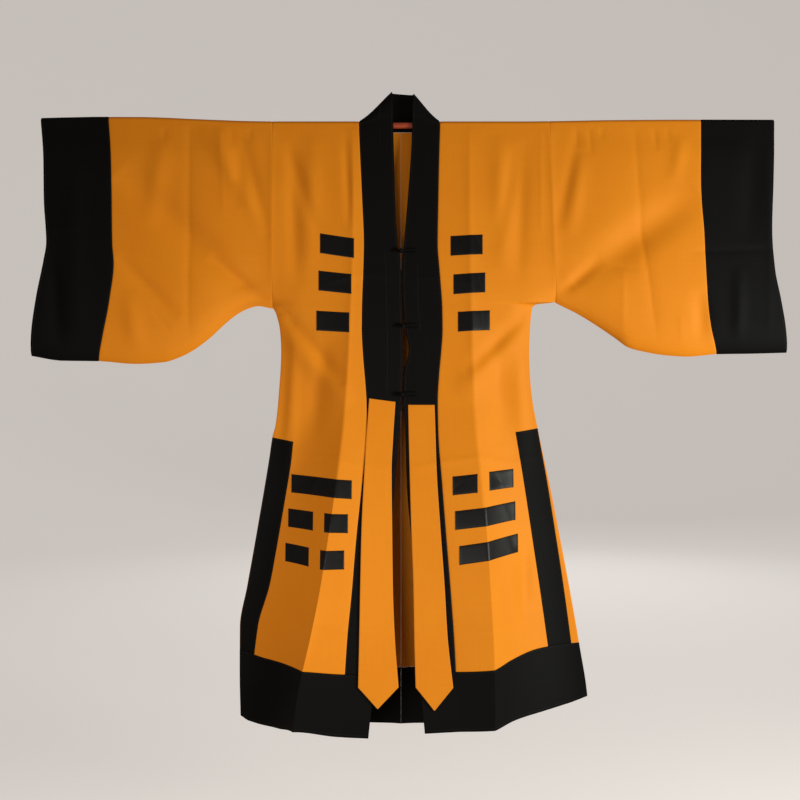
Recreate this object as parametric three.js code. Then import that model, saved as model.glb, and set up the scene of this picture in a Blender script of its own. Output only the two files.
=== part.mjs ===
// A front-opening robe with wide sleeves, of yellow cloth with black bands, hung on a thin rod that
// runs through both sleeves. Millimetres, +Z up, the wearer faces -Y, so the wearer's right is at -X.
// The origin is the middle of the rod's axis. A drop is a distance below that axis.
// Each piece of cloth is a closed wall of even thickness about a draped middle surface.

import * as THREE from "three";

// Driving sizes
const ROD_RADIUS = 6;
const ROD_HALF_LENGTH = 708;
const ROD_SUPPORT = 620; // where the rod is borne, each side of the middle
const ROD_RISE = 9; // how far it is bowed between the middle and there
const CLOTH = 1.6;
const BAND = 2; // the black bands are cut double
const COLLAR = 3;
const PATCH = 1;
const SEAM = 0.4; // between two pieces that are sewn together
const LIFT = 0.5; // between a piece and what lies on it
const ROD_GAP = 0.6; // between the rod and the cloth that bends over it
const NECK_DROP = 12; // the back neckline
const NECK_HALF_WIDTH = { right: 84, left: 78 };
const COLLAR_END = 548; // the drop where the collar stops and the ribbons start
const ARMPIT = { right: 366, left: 354 };
const SLIT_TOP = { right: 622, left: 606 };
const SLIT_BAND_WIDTH = 46;
const HEM_LEVEL = 1070; // the mean drop of the hem band's seam, which the levels below are counted to
const SLEEVE_FADE = 360; // the drop at which the rod's bow is no longer felt in the cloth
const BAR_HEIGHT = 37;

const SIDES = ["right", "left"];
const sign = { right: -1, left: 1 };

// The front at each drop, on each side: distance from the middle of its free edge, of the black
// band's seam, of the pressed ridge down the panel, and of the sleeve seam or side edge.
const FRONT_LINES = {
  right: [
    { drop: 0, free: 15.7, band: 84, ridge: 96, side: 257 },
    { drop: 60, free: 14, band: 79, ridge: 95, side: 257 },
    { drop: 150, free: 11.7, band: 74.5, ridge: 95, side: 257 },
    { drop: 240, free: 6.5, band: 71.5, ridge: 95, side: 257 },
    { drop: 290, free: 0, band: 72.5, ridge: 96.5, side: 257 },
    { drop: 362, free: -1.2, band: 75, ridge: 99, side: 256.5 },
    { drop: 376, free: -1.6, band: 75.5, ridge: 99.5, side: 250 },
    { drop: 410, free: -2.6, band: 75.8, ridge: 101, side: 242 },
    { drop: 450, free: -3.4, band: 74, ridge: 102.5, side: 239.6 },
    { drop: 550, free: -1.2, band: 67, ridge: 108.7, side: 243 },
    { drop: 622, free: 5, band: 66.5, ridge: 115, side: 251 },
    { drop: 665, free: 8, band: 71, ridge: 120, side: 264 },
    { drop: 820, free: 21.4, band: 87, ridge: 141, side: 289.5 },
    { drop: 920, free: 33, band: 95, ridge: 156.5, side: 307.5 },
    { drop: 1003, free: 42, band: 103, ridge: 173, side: 322 },
    { drop: 1100, free: 52.6, band: 109, ridge: 194.5, side: 322 },
    { drop: 1200, free: 63, band: 114, ridge: 209, side: 320 },
  ],
  left: [
    { drop: 0, free: 22.5, band: 78, ridge: 137, side: 296 },
    { drop: 60, free: 19.8, band: 75.3, ridge: 136.5, side: 298 },
    { drop: 150, free: 13.2, band: 72.5, ridge: 136, side: 301 },
    { drop: 240, free: 6, band: 71, ridge: 136.5, side: 304 },
    { drop: 290, free: 3, band: 74.5, ridge: 137, side: 306 },
    { drop: 353, free: 3.4, band: 80, ridge: 138.5, side: 308.6 },
    { drop: 358, free: 3.6, band: 80.2, ridge: 138.7, side: 270 },
    { drop: 366, free: 4.2, band: 80.6, ridge: 139, side: 262 },
    { drop: 410, free: 9, band: 81.3, ridge: 140, side: 258 },
    { drop: 450, free: 15, band: 79, ridge: 141, side: 256.5 },
    { drop: 500, free: 6, band: 75, ridge: 142.5, side: 257.5 },
    { drop: 550, free: 4.4, band: 72.3, ridge: 144, side: 261 },
    { drop: 606, free: 8, band: 73, ridge: 147.5, side: 272.6 },
    { drop: 720, free: 11.5, band: 80.8, ridge: 159, side: 295.5 },
    { drop: 820, free: 20, band: 88.2, ridge: 166.2, side: 314.5 },
    { drop: 920, free: 26, band: 96, ridge: 172, side: 333.5 },
    { drop: 1036, free: 32.5, band: 103.6, ridge: 177.5, side: 355.4 },
    { drop: 1139, free: 41, band: 107.6, ridge: 179, side: 372.6 },
    { drop: 1200, free: 46.6, band: 109.6, ridge: 178.5, side: 377 },
  ],
};

// How far forward the front hangs at those four lines, and how hollow it is from ridge to side.
const FRONT_DEPTHS = [
  { drop: 0, free: 9.6, band: 8.6, ridge: 7.8, side: 7.4, hollow: 0 },
  { drop: 60, free: 14, band: 14, ridge: 14, side: 13, hollow: 0 },
  { drop: 150, free: 19, band: 20, ridge: 21, side: 19, hollow: 0 },
  { drop: 250, free: 23, band: 25, ridge: 26, side: 20, hollow: 0 },
  { drop: 325, free: 26, band: 28, ridge: 29, side: 13, hollow: 0.1 },
  { drop: 345, free: 26.6, band: 28.7, ridge: 29.8, side: 7, hollow: 0.15 },
  { drop: 353, free: 27, band: 29, ridge: 30, side: 1.6, hollow: 0.2 },
  { drop: 366, free: 27.5, band: 29.6, ridge: 30.8, side: 1, hollow: 0.2 },
  { drop: 480, free: 31, band: 34, ridge: 37, side: 1, hollow: 0.35 },
  { drop: 550, free: 35, band: 38, ridge: 43, side: 1, hollow: 0.5 },
  { drop: 620, free: 42, band: 46, ridge: 54, side: 1, hollow: 0.6 },
  { drop: 720, free: 55, band: 60, ridge: 70, side: 1.6, hollow: 0.75 },
  { drop: 820, free: 68, band: 73, ridge: 84, side: 2, hollow: 0.85 },
  { drop: 920, free: 80, band: 84, ridge: 96, side: 1, hollow: 0.95 },
  { drop: 1020, free: 90, band: 93, ridge: 105, side: -1, hollow: 1 },
  { drop: 1200, free: 103, band: 105, ridge: 114, side: -5, hollow: 1 },
];

// The back: how far behind the rod's axis it hangs, in the middle and at the side.
const BACK_DEPTHS = [
  { drop: 0, middle: 7.6, side: 7.4 },
  { drop: 60, middle: 8.6, side: 8 },
  { drop: 150, middle: 9.8, side: 9 },
  { drop: 250, middle: 10.6, side: 8 },
  { drop: 325, middle: 11, side: 5 },
  { drop: 345, middle: 11.2, side: 3.4 },
  { drop: 353, middle: 11.3, side: 1.6 },
  { drop: 366, middle: 11.4, side: 1 },
  { drop: 620, middle: 12.5, side: 1 },
  { drop: 720, middle: 13, side: 5 },
  { drop: 1200, middle: 16, side: 13 },
];
const BACK_INSET = [
  { drop: 600, by: 0 },
  { drop: 720, by: 5 },
  { drop: 1200, by: 14 },
]; // below the slits the back is this much narrower than the front
const FLUTE = { spacing: 168, depth: 5, from: 420, to: 1200 };

// The hem band's seam and lower edge, from the free edge (0) by the band (1) and ridge (2) to the side (3).
const HEM = {
  right: [
    { across: 0, seam: 1077, edge: 1197 },
    { across: 1, seam: 1074, edge: 1194 },
    { across: 2, seam: 1066, edge: 1182 },
    { across: 2.6, seam: 1054, edge: 1182 },
    { across: 3, seam: 1044, edge: 1177 },
  ],
  left: [
    { across: 0, seam: 1072, edge: 1188 },
    { across: 1, seam: 1070, edge: 1186 },
    { across: 2, seam: 1063, edge: 1178 },
    { across: 2.5, seam: 1042, edge: 1158 },
    { across: 3, seam: 1034, edge: 1140 },
  ],
};
const BACK_HEM = [
  { share: 0, seam: 1084, edge: 1196 },
  { share: 0.6, seam: 1070, edge: 1184 },
  { share: 1, seam: 1036, edge: 1150 },
];

// The sleeve: the line where the cuff band is sewn on and the cuff's open edge, from the rod (0)
// to the underside (1).
const CUFF_LINES = {
  right: [
    { down: 0, seam: 583, edge: 718 },
    { down: 0.16, seam: 576, edge: 710 },
    { down: 0.35, seam: 573, edge: 707 },
    { down: 0.52, seam: 571, edge: 701.5 },
    { down: 0.6, seam: 568, edge: 707 },
    { down: 0.75, seam: 576.5, edge: 721 },
    { down: 0.89, seam: 590.5, edge: 732 },
    { down: 1, seam: 603.5, edge: 738 },
  ],
  left: [
    { down: 0, seam: 598, edge: 744 },
    { down: 0.27, seam: 594.5, edge: 738 },
    { down: 0.48, seam: 600, edge: 734 },
    { down: 0.64, seam: 603, edge: 739 },
    { down: 0.77, seam: 607, edge: 751 },
    { down: 0.88, seam: 614, edge: 761 },
    { down: 1, seam: 630, edge: 770 },
  ],
};
// The underside, from the armpit out to the cuff's edge.
const UNDERSIDE = {
  right: [
    { out: 257, drop: 366 },
    { out: 285, drop: 361 },
    { out: 303, drop: 364 },
    { out: 326, drop: 376.5 },
    { out: 351, drop: 402 },
    { out: 381, drop: 430 },
    { out: 417, drop: 454 },
    { out: 443, drop: 465 },
    { out: 473, drop: 473 },
    { out: 529, drop: 476.5 },
    { out: 605, drop: 471 },
    { out: 676, drop: 470 },
    { out: 741, drop: 460 },
  ],
  left: [
    { out: 308, drop: 354 },
    { out: 320, drop: 360 },
    { out: 353, drop: 376.5 },
    { out: 394, drop: 402 },
    { out: 429, drop: 426 },
    { out: 455, drop: 444 },
    { out: 480, drop: 451 },
    { out: 526, drop: 459 },
    { out: 572, drop: 462 },
    { out: 632, drop: 457 },
    { out: 698, drop: 456 },
    { out: 772, drop: 454 },
  ],
};
// The sleeve's section clear of the body: how far it stands before and behind the rod's axis.
const SLEEVE_SECTION = [
  { down: 0, before: 7.4, behind: 7.4 },
  { down: 0.06, before: 11, behind: 8.4 },
  { down: 0.15, before: 17, behind: 9.6 },
  { down: 0.3, before: 22, behind: 11 },
  { down: 0.5, before: 26, behind: 12 },
  { down: 0.7, before: 28, behind: 12 },
  { down: 0.85, before: 25, behind: 11 },
  { down: 0.94, before: 18, behind: 9 },
  { down: 0.985, before: 9, behind: 4.5 },
  { down: 1, before: 2.5, behind: -2.5 },
];
const SLEEVE_EASE = 0.45; // the share of the sleeve over which the body's section turns into this one

// The largest drawn folds of the front layer: from one point to another, how wide and how far forward.
const FOLDS = [
  { side: "right", x1: 292, drop1: 346, x2: 560, drop2: 96, wide: 34, rise: -9 },
  { side: "left", x1: 340, drop1: 318, x2: 590, drop2: 140, wide: 34, rise: -9 },
  { side: "right", x1: 236, drop1: 404, x2: 96, drop2: 560, wide: 24, rise: 5 },
  { side: "left", x1: 252, drop1: 396, x2: 110, drop2: 540, wide: 24, rise: 5 },
];

// Ribbons: their inner and outer edges, at each drop.
const RIBBONS = {
  right: [
    { drop: 548, inner: 11, outer: 62.7 },
    { drop: 620, inner: 15.7, outer: 67.5 },
    { drop: 680, inner: 18.4, outer: 71 },
    { drop: 800, inner: 17.2, outer: 76.5 },
    { drop: 910, inner: 15.7, outer: 78.6 },
    { drop: 1000, inner: 12.2, outer: 80 },
    { drop: 1099, inner: 4.8, outer: 82 },
  ],
  left: [
    { drop: 548, inner: 14, outer: 65.6 },
    { drop: 620, inner: 15.2, outer: 67.6 },
    { drop: 680, inner: 16.6, outer: 69.2 },
    { drop: 800, inner: 20, outer: 76.4 },
    { drop: 910, inner: 24, outer: 84 },
    { drop: 1000, inner: 25.4, outer: 89 },
    { drop: 1099, inner: 28, outer: 99.7 },
  ],
};
const RIBBON_TIP = { right: { x: 44.7, drop: 1140 }, left: { x: 64, drop: 1143 } };
const RIBBON_STAND = 2.2; // how far the hanging ribbon stands off the band at its lower end

// The trigram bars: centre, width and how much the outer end is lower.
const BARS = [
  { name: "chest_right_1", side: "right", x: 127.5, drop: 240, wide: 64, fall: -8 },
  { name: "chest_right_2", side: "right", x: 131.5, drop: 315, wide: 63, fall: -7 },
  { name: "chest_right_3", side: "right", x: 134.5, drop: 392, wide: 63, fall: -3 },
  { name: "chest_left_1", side: "left", x: 129, drop: 240, wide: 62, fall: -4 },
  { name: "chest_left_2", side: "left", x: 135.5, drop: 316, wide: 61, fall: -4 },
  { name: "chest_left_3", side: "left", x: 143.5, drop: 392, wide: 62, fall: -3 },
  { name: "skirt_right_1", side: "right", x: 155.5, drop: 717, wide: 116, fall: -10 },
  { name: "skirt_right_2_outer", side: "right", x: 196, drop: 783, wide: 47, fall: -4 },
  { name: "skirt_right_2_inner", side: "right", x: 126.5, drop: 791, wide: 43, fall: -2 },
  { name: "skirt_right_3_outer", side: "right", x: 202, drop: 850, wide: 44, fall: -6 },
  { name: "skirt_right_3_inner", side: "right", x: 133, drop: 861, wide: 44, fall: 0 },
  { name: "skirt_left_1_inner", side: "left", x: 125, drop: 711, wide: 46, fall: -5 },
  { name: "skirt_left_1_outer", side: "left", x: 197, drop: 702, wide: 45, fall: -4 },
  { name: "skirt_left_2", side: "left", x: 163, drop: 774, wide: 114, fall: -17 },
  { name: "skirt_left_3", side: "left", x: 169, drop: 840, wide: 111, fall: -20 },
];

// Knot buttons on the collar's meeting edges.
const BUTTONS = [
  { drop: 254, x: 0 },
  { drop: 403, x: 4 },
  { drop: 538, x: 2 },
];
const KNOT_RADIUS = 5.5;
const KNOT_STRAP = { radius: 1.8, length: 17 };
const LOOP_RADIUS = 3.6;
const LOOP_LENGTH = 17;
const LOOP_CORD = 1.3;

// One column of a table at a place along it, by monotone cubic pieces that never overshoot.
function read(table, along, column, place) {
  const last = table.length - 1;
  const at = (i) => table[i][along];
  const value = (i) => table[i][column];
  if (place <= at(0)) return value(0);
  if (place >= at(last)) return value(last);
  let i = 0;
  while (place > at(i + 1)) i++;
  const slope = (k) => (value(k + 1) - value(k)) / (at(k + 1) - at(k));
  const tangent = (k) => {
    if (k === 0) return slope(0);
    if (k === last) return slope(last - 1);
    const a = slope(k - 1);
    const b = slope(k);
    return a * b <= 0 ? 0 : (2 * a * b) / (a + b);
  };
  const step = at(i + 1) - at(i);
  const t = (place - at(i)) / step;
  const s = 1 - t;
  return (
    value(i) * (1 + 2 * t) * s * s +
    tangent(i) * step * t * s * s +
    value(i + 1) * t * t * (3 - 2 * t) -
    tangent(i + 1) * step * t * t * s
  );
}

const mix = (a, b, t) => a + (b - a) * t;
const clamp = (t) => Math.min(1, Math.max(0, t));
const ease = (t) => clamp(t) ** 2 * (3 - 2 * clamp(t));
const steps = (from, to, count) =>
  Array.from({ length: count + 1 }, (_, i) => mix(from, to, i / count));
const drawn = (x, y, z) => new THREE.Vector3(x, y, z);

// Height of the rod's bowed axis, and of the cloth it lifts.
const rodHeight = (x) => (ROD_RISE / 2) * (1 - Math.cos((Math.PI * x) / ROD_SUPPORT));
const lifted = (x, drop) => rodHeight(x) * Math.max(0, 1 - drop / SLEEVE_FADE) - drop;

// How far the drawn folds push a point of the front forward.
function foldAt(side, x, drop) {
  let forward = 0;
  for (const f of FOLDS.filter((f) => f.side === side)) {
    const run = [f.x2 - f.x1, f.drop2 - f.drop1];
    const length = Math.hypot(...run);
    const t = ((x - f.x1) * run[0] + (drop - f.drop1) * run[1]) / length ** 2;
    const off = ((x - f.x1) * run[1] - (drop - f.drop1) * run[0]) / length;
    const swell = Math.sin(Math.PI * clamp(t)) ** 0.8;
    forward += f.rise * swell * Math.exp(-((off / f.wide) ** 2));
  }
  return forward;
}

// A point of the front. Across runs from the free edge (0) by the band's seam (1) and the ridge (2)
// to the sleeve seam or side edge (3).
function frontPoint(side, across, drop) {
  const lines = FRONT_LINES[side];
  const names = ["free", "band", "ridge", "side"];
  const piece = Math.min(2, Math.max(0, Math.floor(across)));
  const t = across - piece;
  const x = mix(
    read(lines, "drop", names[piece], drop),
    read(lines, "drop", names[piece + 1], drop),
    t,
  );
  const hollow = piece === 2 ? read(FRONT_DEPTHS, "drop", "hollow", drop) : 0;
  const bent = mix(t, 1 - (1 - t) ** 2, hollow);
  const forward = mix(
    read(FRONT_DEPTHS, "drop", names[piece], drop),
    read(FRONT_DEPTHS, "drop", names[piece + 1], drop),
    bent,
  );
  const still = piece === 2 ? 1 - ease((t - 0.8) / 0.2) : 1;
  return drawn(sign[side] * x, -forward - foldAt(side, x, drop) * still, lifted(x, drop));
}

// The across value of the front at a distance from the middle.
function acrossAt(side, x, drop) {
  const marks = ["free", "band", "ridge", "side"].map((n) =>
    read(FRONT_LINES[side], "drop", n, drop),
  );
  const piece = x < marks[1] ? 0 : x < marks[2] ? 1 : 2;
  return piece + (x - marks[piece]) / (marks[piece + 1] - marks[piece]);
}

// A point of the back. Share runs from the centre seam (0) to the sleeve seam or side edge (1).
function backPoint(side, share, drop) {
  const edge =
    read(FRONT_LINES[side], "drop", "side", drop) - read(BACK_INSET, "drop", "by", drop);
  const x = mix(SEAM / 2, edge, share);
  const flute =
    FLUTE.depth *
    ease((drop - FLUTE.from) / (FLUTE.to - FLUTE.from)) *
    Math.cos((2 * Math.PI * x) / FLUTE.spacing) *
    (1 - share ** 4);
  const behind = mix(
    read(BACK_DEPTHS, "drop", "middle", drop),
    read(BACK_DEPTHS, "drop", "side", drop),
    share ** 3,
  );
  return drawn(sign[side] * x, behind + flute, lifted(x, drop));
}

// A wall about rows of middle points. The outward side is the left of a row, seen from its start
// with the next row above it; closed walls join the last column to the first.
function wall(rows, thick, { closed = false, flip = false, normalAt } = {}) {
  const high = rows.length;
  const wide = rows[0].length;
  const at = (i, j) =>
    rows[Math.min(high - 1, Math.max(0, i))][
      closed ? (j + wide) % wide : Math.min(wide - 1, Math.max(0, j))
    ];
  const outer = [];
  const inner = [];
  for (let i = 0; i < high; i++)
    for (let j = 0; j < wide; j++) {
      const alongRow = at(i, j + 1).clone().sub(at(i, j - 1));
      const acrossRow = at(i + 1, j).clone().sub(at(i - 1, j));
      let normal = alongRow.cross(acrossRow).normalize();
      if (flip) normal.negate();
      normal = normalAt?.(i, j) ?? normal;
      outer.push(at(i, j).clone().addScaledVector(normal, thick / 2));
      inner.push(at(i, j).clone().addScaledVector(normal, -thick / 2));
    }
  const points = [...outer, ...inner];
  const faces = [];
  const quad = (a, b, c, d) => {
    if (flip) faces.push(a, c, b, a, d, c);
    else faces.push(a, b, c, a, c, d);
  };
  const spot = (i, j) => i * wide + (j % wide);
  const under = outer.length;
  const last = closed ? wide : wide - 1;
  for (let i = 0; i < high - 1; i++)
    for (let j = 0; j < last; j++) {
      const [a, b] = [spot(i, j), spot(i, j + 1)];
      const [c, d] = [spot(i + 1, j + 1), spot(i + 1, j)];
      quad(a, b, c, d);
      quad(a + under, d + under, c + under, b + under);
    }
  for (let j = 0; j < last; j++) {
    quad(spot(0, j), spot(0, j) + under, spot(0, j + 1) + under, spot(0, j + 1));
    const [a, b] = [spot(high - 1, j), spot(high - 1, j + 1)];
    quad(b, b + under, a + under, a);
  }
  if (!closed)
    for (let i = 0; i < high - 1; i++) {
      quad(spot(i + 1, 0), spot(i + 1, 0) + under, spot(i, 0) + under, spot(i, 0));
      const [a, b] = [spot(i, wide - 1), spot(i + 1, wide - 1)];
      quad(a, a + under, b + under, b);
    }
  const geometry = new THREE.BufferGeometry();
  geometry.setAttribute(
    "position",
    new THREE.Float32BufferAttribute(points.flatMap((p) => p.toArray()), 3),
  );
  geometry.setIndex(faces);
  return geometry;
}

// Moves rows of middle points out along their normals, for a piece that lies on them.
function movedOut(rows, by, flip) {
  return rows.map((row, i) =>
    row.map((p, j) => {
      const alongRow = row[Math.min(row.length - 1, j + 1)]
        .clone()
        .sub(row[Math.max(0, j - 1)]);
      const acrossRow = rows[Math.min(rows.length - 1, i + 1)][j]
        .clone()
        .sub(rows[Math.max(0, i - 1)][j]);
      const normal = alongRow.cross(acrossRow).normalize();
      return p.clone().addScaledVector(normal, flip ? -by : by);
    }),
  );
}

const material = (color, roughness, metalness = 0) =>
  new THREE.MeshStandardMaterial({ color, roughness, metalness });
const yellowCloth = material("#e8921e", 0.75);
const blackCloth = material("#141414", 0.7);
const blackSatin = material("#1b1d20", 0.4);
const paintedRod = material("#b8452a", 0.5);

const robe = new THREE.Group();
function add(name, geometry, finish) {
  const mesh = new THREE.Mesh(geometry, finish);
  mesh.name = name;
  robe.add(mesh);
}

// The rod: twelve-sided rings in planes across it, closed at both ends.
function rodGeometry() {
  const sides = 12;
  const rings = steps(-ROD_HALF_LENGTH, ROD_HALF_LENGTH, 20).map((x) =>
    Array.from({ length: sides }, (_, k) => {
      const turn = (2 * Math.PI * k) / sides;
      return drawn(x, ROD_RADIUS * Math.cos(turn), rodHeight(x) + ROD_RADIUS * Math.sin(turn));
    }),
  );
  const points = rings.flat();
  const faces = [];
  for (let i = 0; i < rings.length - 1; i++)
    for (let k = 0; k < sides; k++) {
      const next = (k + 1) % sides;
      const [a, b] = [i * sides + k, i * sides + next];
      const [c, d] = [a + sides, b + sides];
      faces.push(a, b, c, b, d, c);
    }
  const end = (rings.length - 1) * sides;
  for (let k = 1; k < sides - 1; k++) {
    faces.push(0, k + 1, k);
    faces.push(end, end + k, end + k + 1);
  }
  const geometry = new THREE.BufferGeometry();
  geometry.setAttribute(
    "position",
    new THREE.Float32BufferAttribute(points.flatMap((p) => p.toArray()), 3),
  );
  geometry.setIndex(faces);
  return geometry;
}

// A middle point of cloth that bends over the rod, turned up from the level of the rod's axis,
// and the way it faces. The face is -1 in front of the rod and 1 behind it.
const overRadius = (thick) => ROD_RADIUS + ROD_GAP + thick / 2;
const radial = (turn, face) => drawn(0, face * Math.cos(turn), Math.sin(turn));
function overRod(x, turn, face, thick = CLOTH) {
  return radial(turn, face)
    .multiplyScalar(overRadius(thick))
    .add(drawn(x, 0, rodHeight(x)));
}

// Levels of a body panel: spread down to the armpit, close together there, then on to the hem.
// They are even down to EVEN_TO and then spread so that the last one meets the hem's seam.
const EVEN_TO = 900;
const stretched = (drop, seam) =>
  drop <= EVEN_TO ? drop : mix(EVEN_TO, seam, (drop - EVEN_TO) / (HEM_LEVEL - EVEN_TO));
function bodyLevels(side) {
  const pit = ARMPIT[side];
  return [
    ...[0, 30, 75, 130, 190, 250, 300, 332],
    ...[-12, 0, 5, 13, 26, 48, 84].map((by) => pit + by),
    ...steps(pit + 130, SLIT_TOP[side], 2),
    ...steps(SLIT_TOP[side] + 48, EVEN_TO, 5),
    ...steps(EVEN_TO, HEM_LEVEL, 3).slice(1),
  ];
}

const PANEL_ACROSS = [1, 1.5, 2, 2.12, 2.28, 2.45, 2.62, 2.8, 2.93, 3];
const facing = { front: drawn(0, -1, 0), back: drawn(0, 1, 0) };
const outward = (point, side, by) => point.setX(point.x + sign[side] * by);

function frontPanel(side) {
  const levels = bodyLevels(side);
  const last = PANEL_ACROSS.length - 1;
  const clear = (point, j) =>
    outward(point, side, j === 0 ? SEAM / 2 : j === last ? -SEAM / 2 : 0);
  const turns = [88, 60, 30].map((degrees) => (degrees * Math.PI) / 180);
  const rows = [
    ...turns.map((turn) =>
      PANEL_ACROSS.map((a, j) => clear(overRod(frontPoint(side, a, 0).x, turn, -1), j)),
    ),
    ...levels.map((level, i) =>
      PANEL_ACROSS.map((a, j) => {
        const seam = read(HEM[side], "across", "seam", a);
        const inset = i === levels.length - 1 ? SEAM / 2 : 0;
        return clear(frontPoint(side, a, stretched(level, seam) - inset), j);
      }),
    ),
  ];
  const pitRow = turns.length + levels.findIndex((d) => d >= ARMPIT[side]);
  return wall(rows, CLOTH, {
    flip: side === "left",
    normalAt: (i, j) => {
      if (i < turns.length) return radial(turns[i], -1);
      return i >= pitRow && j === last ? facing.front : null;
    },
  });
}

// The back neckline: at each distance from the middle, how far it lies from the rod's top, along
// the cloth that comes down behind the rod.
const QUARTER = (overRadius(CLOTH) * Math.PI) / 2;
const NECKLINE = [
  { inside: 84, length: QUARTER + 12.8 },
  { inside: 54, length: QUARTER + 12.6 },
  { inside: 27, length: QUARTER + 10.8 },
  { inside: 12, length: QUARTER + 5.4 },
  { inside: 4.2, length: QUARTER * 0.7 },
  { inside: 1.2, length: QUARTER * 0.36 },
  { inside: -0.8, length: 0.26 },
];
const BACK_SHARES = [0.46, 0.6, 0.74, 0.87, 0.96];

function backPanel(side) {
  const levels = bodyLevels(side).slice(1);
  const neck = NECK_HALF_WIDTH[side];
  const edge = FRONT_LINES[side][0].side;
  const columns = [
    ...NECKLINE.map(({ inside, length }) => ({
      share: Math.max(0, (neck - inside) / edge),
      length,
    })),
    ...[...BACK_SHARES, 1].map((share) => ({ share, length: 0.26 })),
  ];
  const last = columns.length - 1;
  const clear = (point, j) => (j === last ? outward(point, side, -SEAM / 2) : point);
  const lengthAt = (start, i) =>
    start < QUARTER ? mix(start, QUARTER, i / 3) : mix(start, QUARTER + levels[0], i / 4);
  const neckRows = [0, 1, 2, 3];
  const rows = [
    ...neckRows.map((i) =>
      columns.map(({ share, length }, j) => {
        const along = lengthAt(length, i);
        if (along > QUARTER) return backPoint(side, share, along - QUARTER);
        const turn = Math.PI / 2 - along / overRadius(CLOTH);
        return clear(overRod(backPoint(side, share, 0).x, turn, 1), j);
      }),
    ),
    ...levels.map((level, i) =>
      columns.map(({ share }, j) => {
        const seam = read(BACK_HEM, "share", "seam", share);
        const inset = i === levels.length - 1 ? SEAM / 2 : 0;
        return clear(backPoint(side, share, stretched(level, seam) - inset), j);
      }),
    ),
  ];
  const pitRow = neckRows.length + levels.findIndex((d) => d >= ARMPIT[side]);
  const slitRow = neckRows.length + levels.findIndex((d) => d > SLIT_TOP[side]);
  return wall(rows, CLOTH, {
    flip: side === "right",
    normalAt: (i, j) => {
      const along = i < neckRows.length ? lengthAt(columns[j].length, i) : Infinity;
      if (along < QUARTER) return radial(Math.PI / 2 - along / overRadius(CLOTH), 1);
      return i >= pitRow && i < slitRow && j === last ? facing.back : null;
    },
  });
}

// A ring of the sleeve or cuff. Out is 0 at the body, 1 at the cuff's seam and 2 at its open edge.
const RING_DOWN = [0, 0.07, 0.17, 0.28, 0.4, 0.53, 0.66, 0.78, 0.88, 0.95, 0.985];
function sleeveRing(side, out, shift, thick) {
  const pit = ARMPIT[side];
  const seamX = (down) => read(FRONT_LINES[side], "drop", "side", Math.min(down * pit, pit - 1));
  const cuffX = (down, line) => read(CUFF_LINES[side], "down", line, down);
  const xAt = (down) =>
    (out <= 1
      ? mix(seamX(down), cuffX(down, "seam"), out)
      : mix(cuffX(down, "seam"), cuffX(down, "edge"), out - 1)) + shift;
  const bottom = read(UNDERSIDE[side], "out", "drop", xAt(1));
  const blend = ease(out / SLEEVE_EASE);
  const depthAt = (down, column, table) => {
    const drop = Math.min(down * pit, pit - 1);
    const atBody = read(table, "drop", "side", drop);
    const middle = mix(atBody, read(SLEEVE_SECTION, "down", column, down), blend);
    return middle + (thick - CLOTH) / 2;
  };
  const heightAt = (down) => mix(rodHeight(xAt(0)), -bottom, down);
  const front = RING_DOWN.map((down) => {
    const x = xAt(down);
    const fold = foldAt(side, x, -heightAt(down)) * (1 - ease((down - 0.85) / 0.15));
    const y = -depthAt(down, "before", FRONT_DEPTHS) - fold;
    return drawn(sign[side] * x, y, heightAt(down));
  });
  const back = RING_DOWN.map((down) =>
    drawn(sign[side] * xAt(down), depthAt(down, "behind", BACK_DEPTHS), heightAt(down)),
  );
  const lowest = drawn(sign[side] * xAt(1), -2.5 * blend, heightAt(1));
  const top = sign[side] * xAt(0);
  const arcs = (face) => [60, 30].map((d) => overRod(top, (d * Math.PI) / 180, face, thick));
  return [
    overRod(top, Math.PI / 2, 1, thick),
    ...arcs(-1),
    ...front,
    lowest,
    ...back.reverse(),
    ...arcs(1).reverse(),
  ];
}

function sleeve(side) {
  const rings = steps(0, 1, 12).map((out) => {
    const shift = out === 0 ? SEAM / 2 : out === 1 ? -SEAM / 2 : 0;
    return sleeveRing(side, out, shift, CLOTH);
  });
  return wall(rings, CLOTH, { closed: true, flip: side === "right" });
}

function cuff(side) {
  const rings = steps(1, 2, 4).map((out) =>
    sleeveRing(side, out, out === 1 ? SEAM / 2 : 0, BAND),
  );
  return wall(rings, BAND, { closed: true, flip: side === "right" });
}

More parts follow.
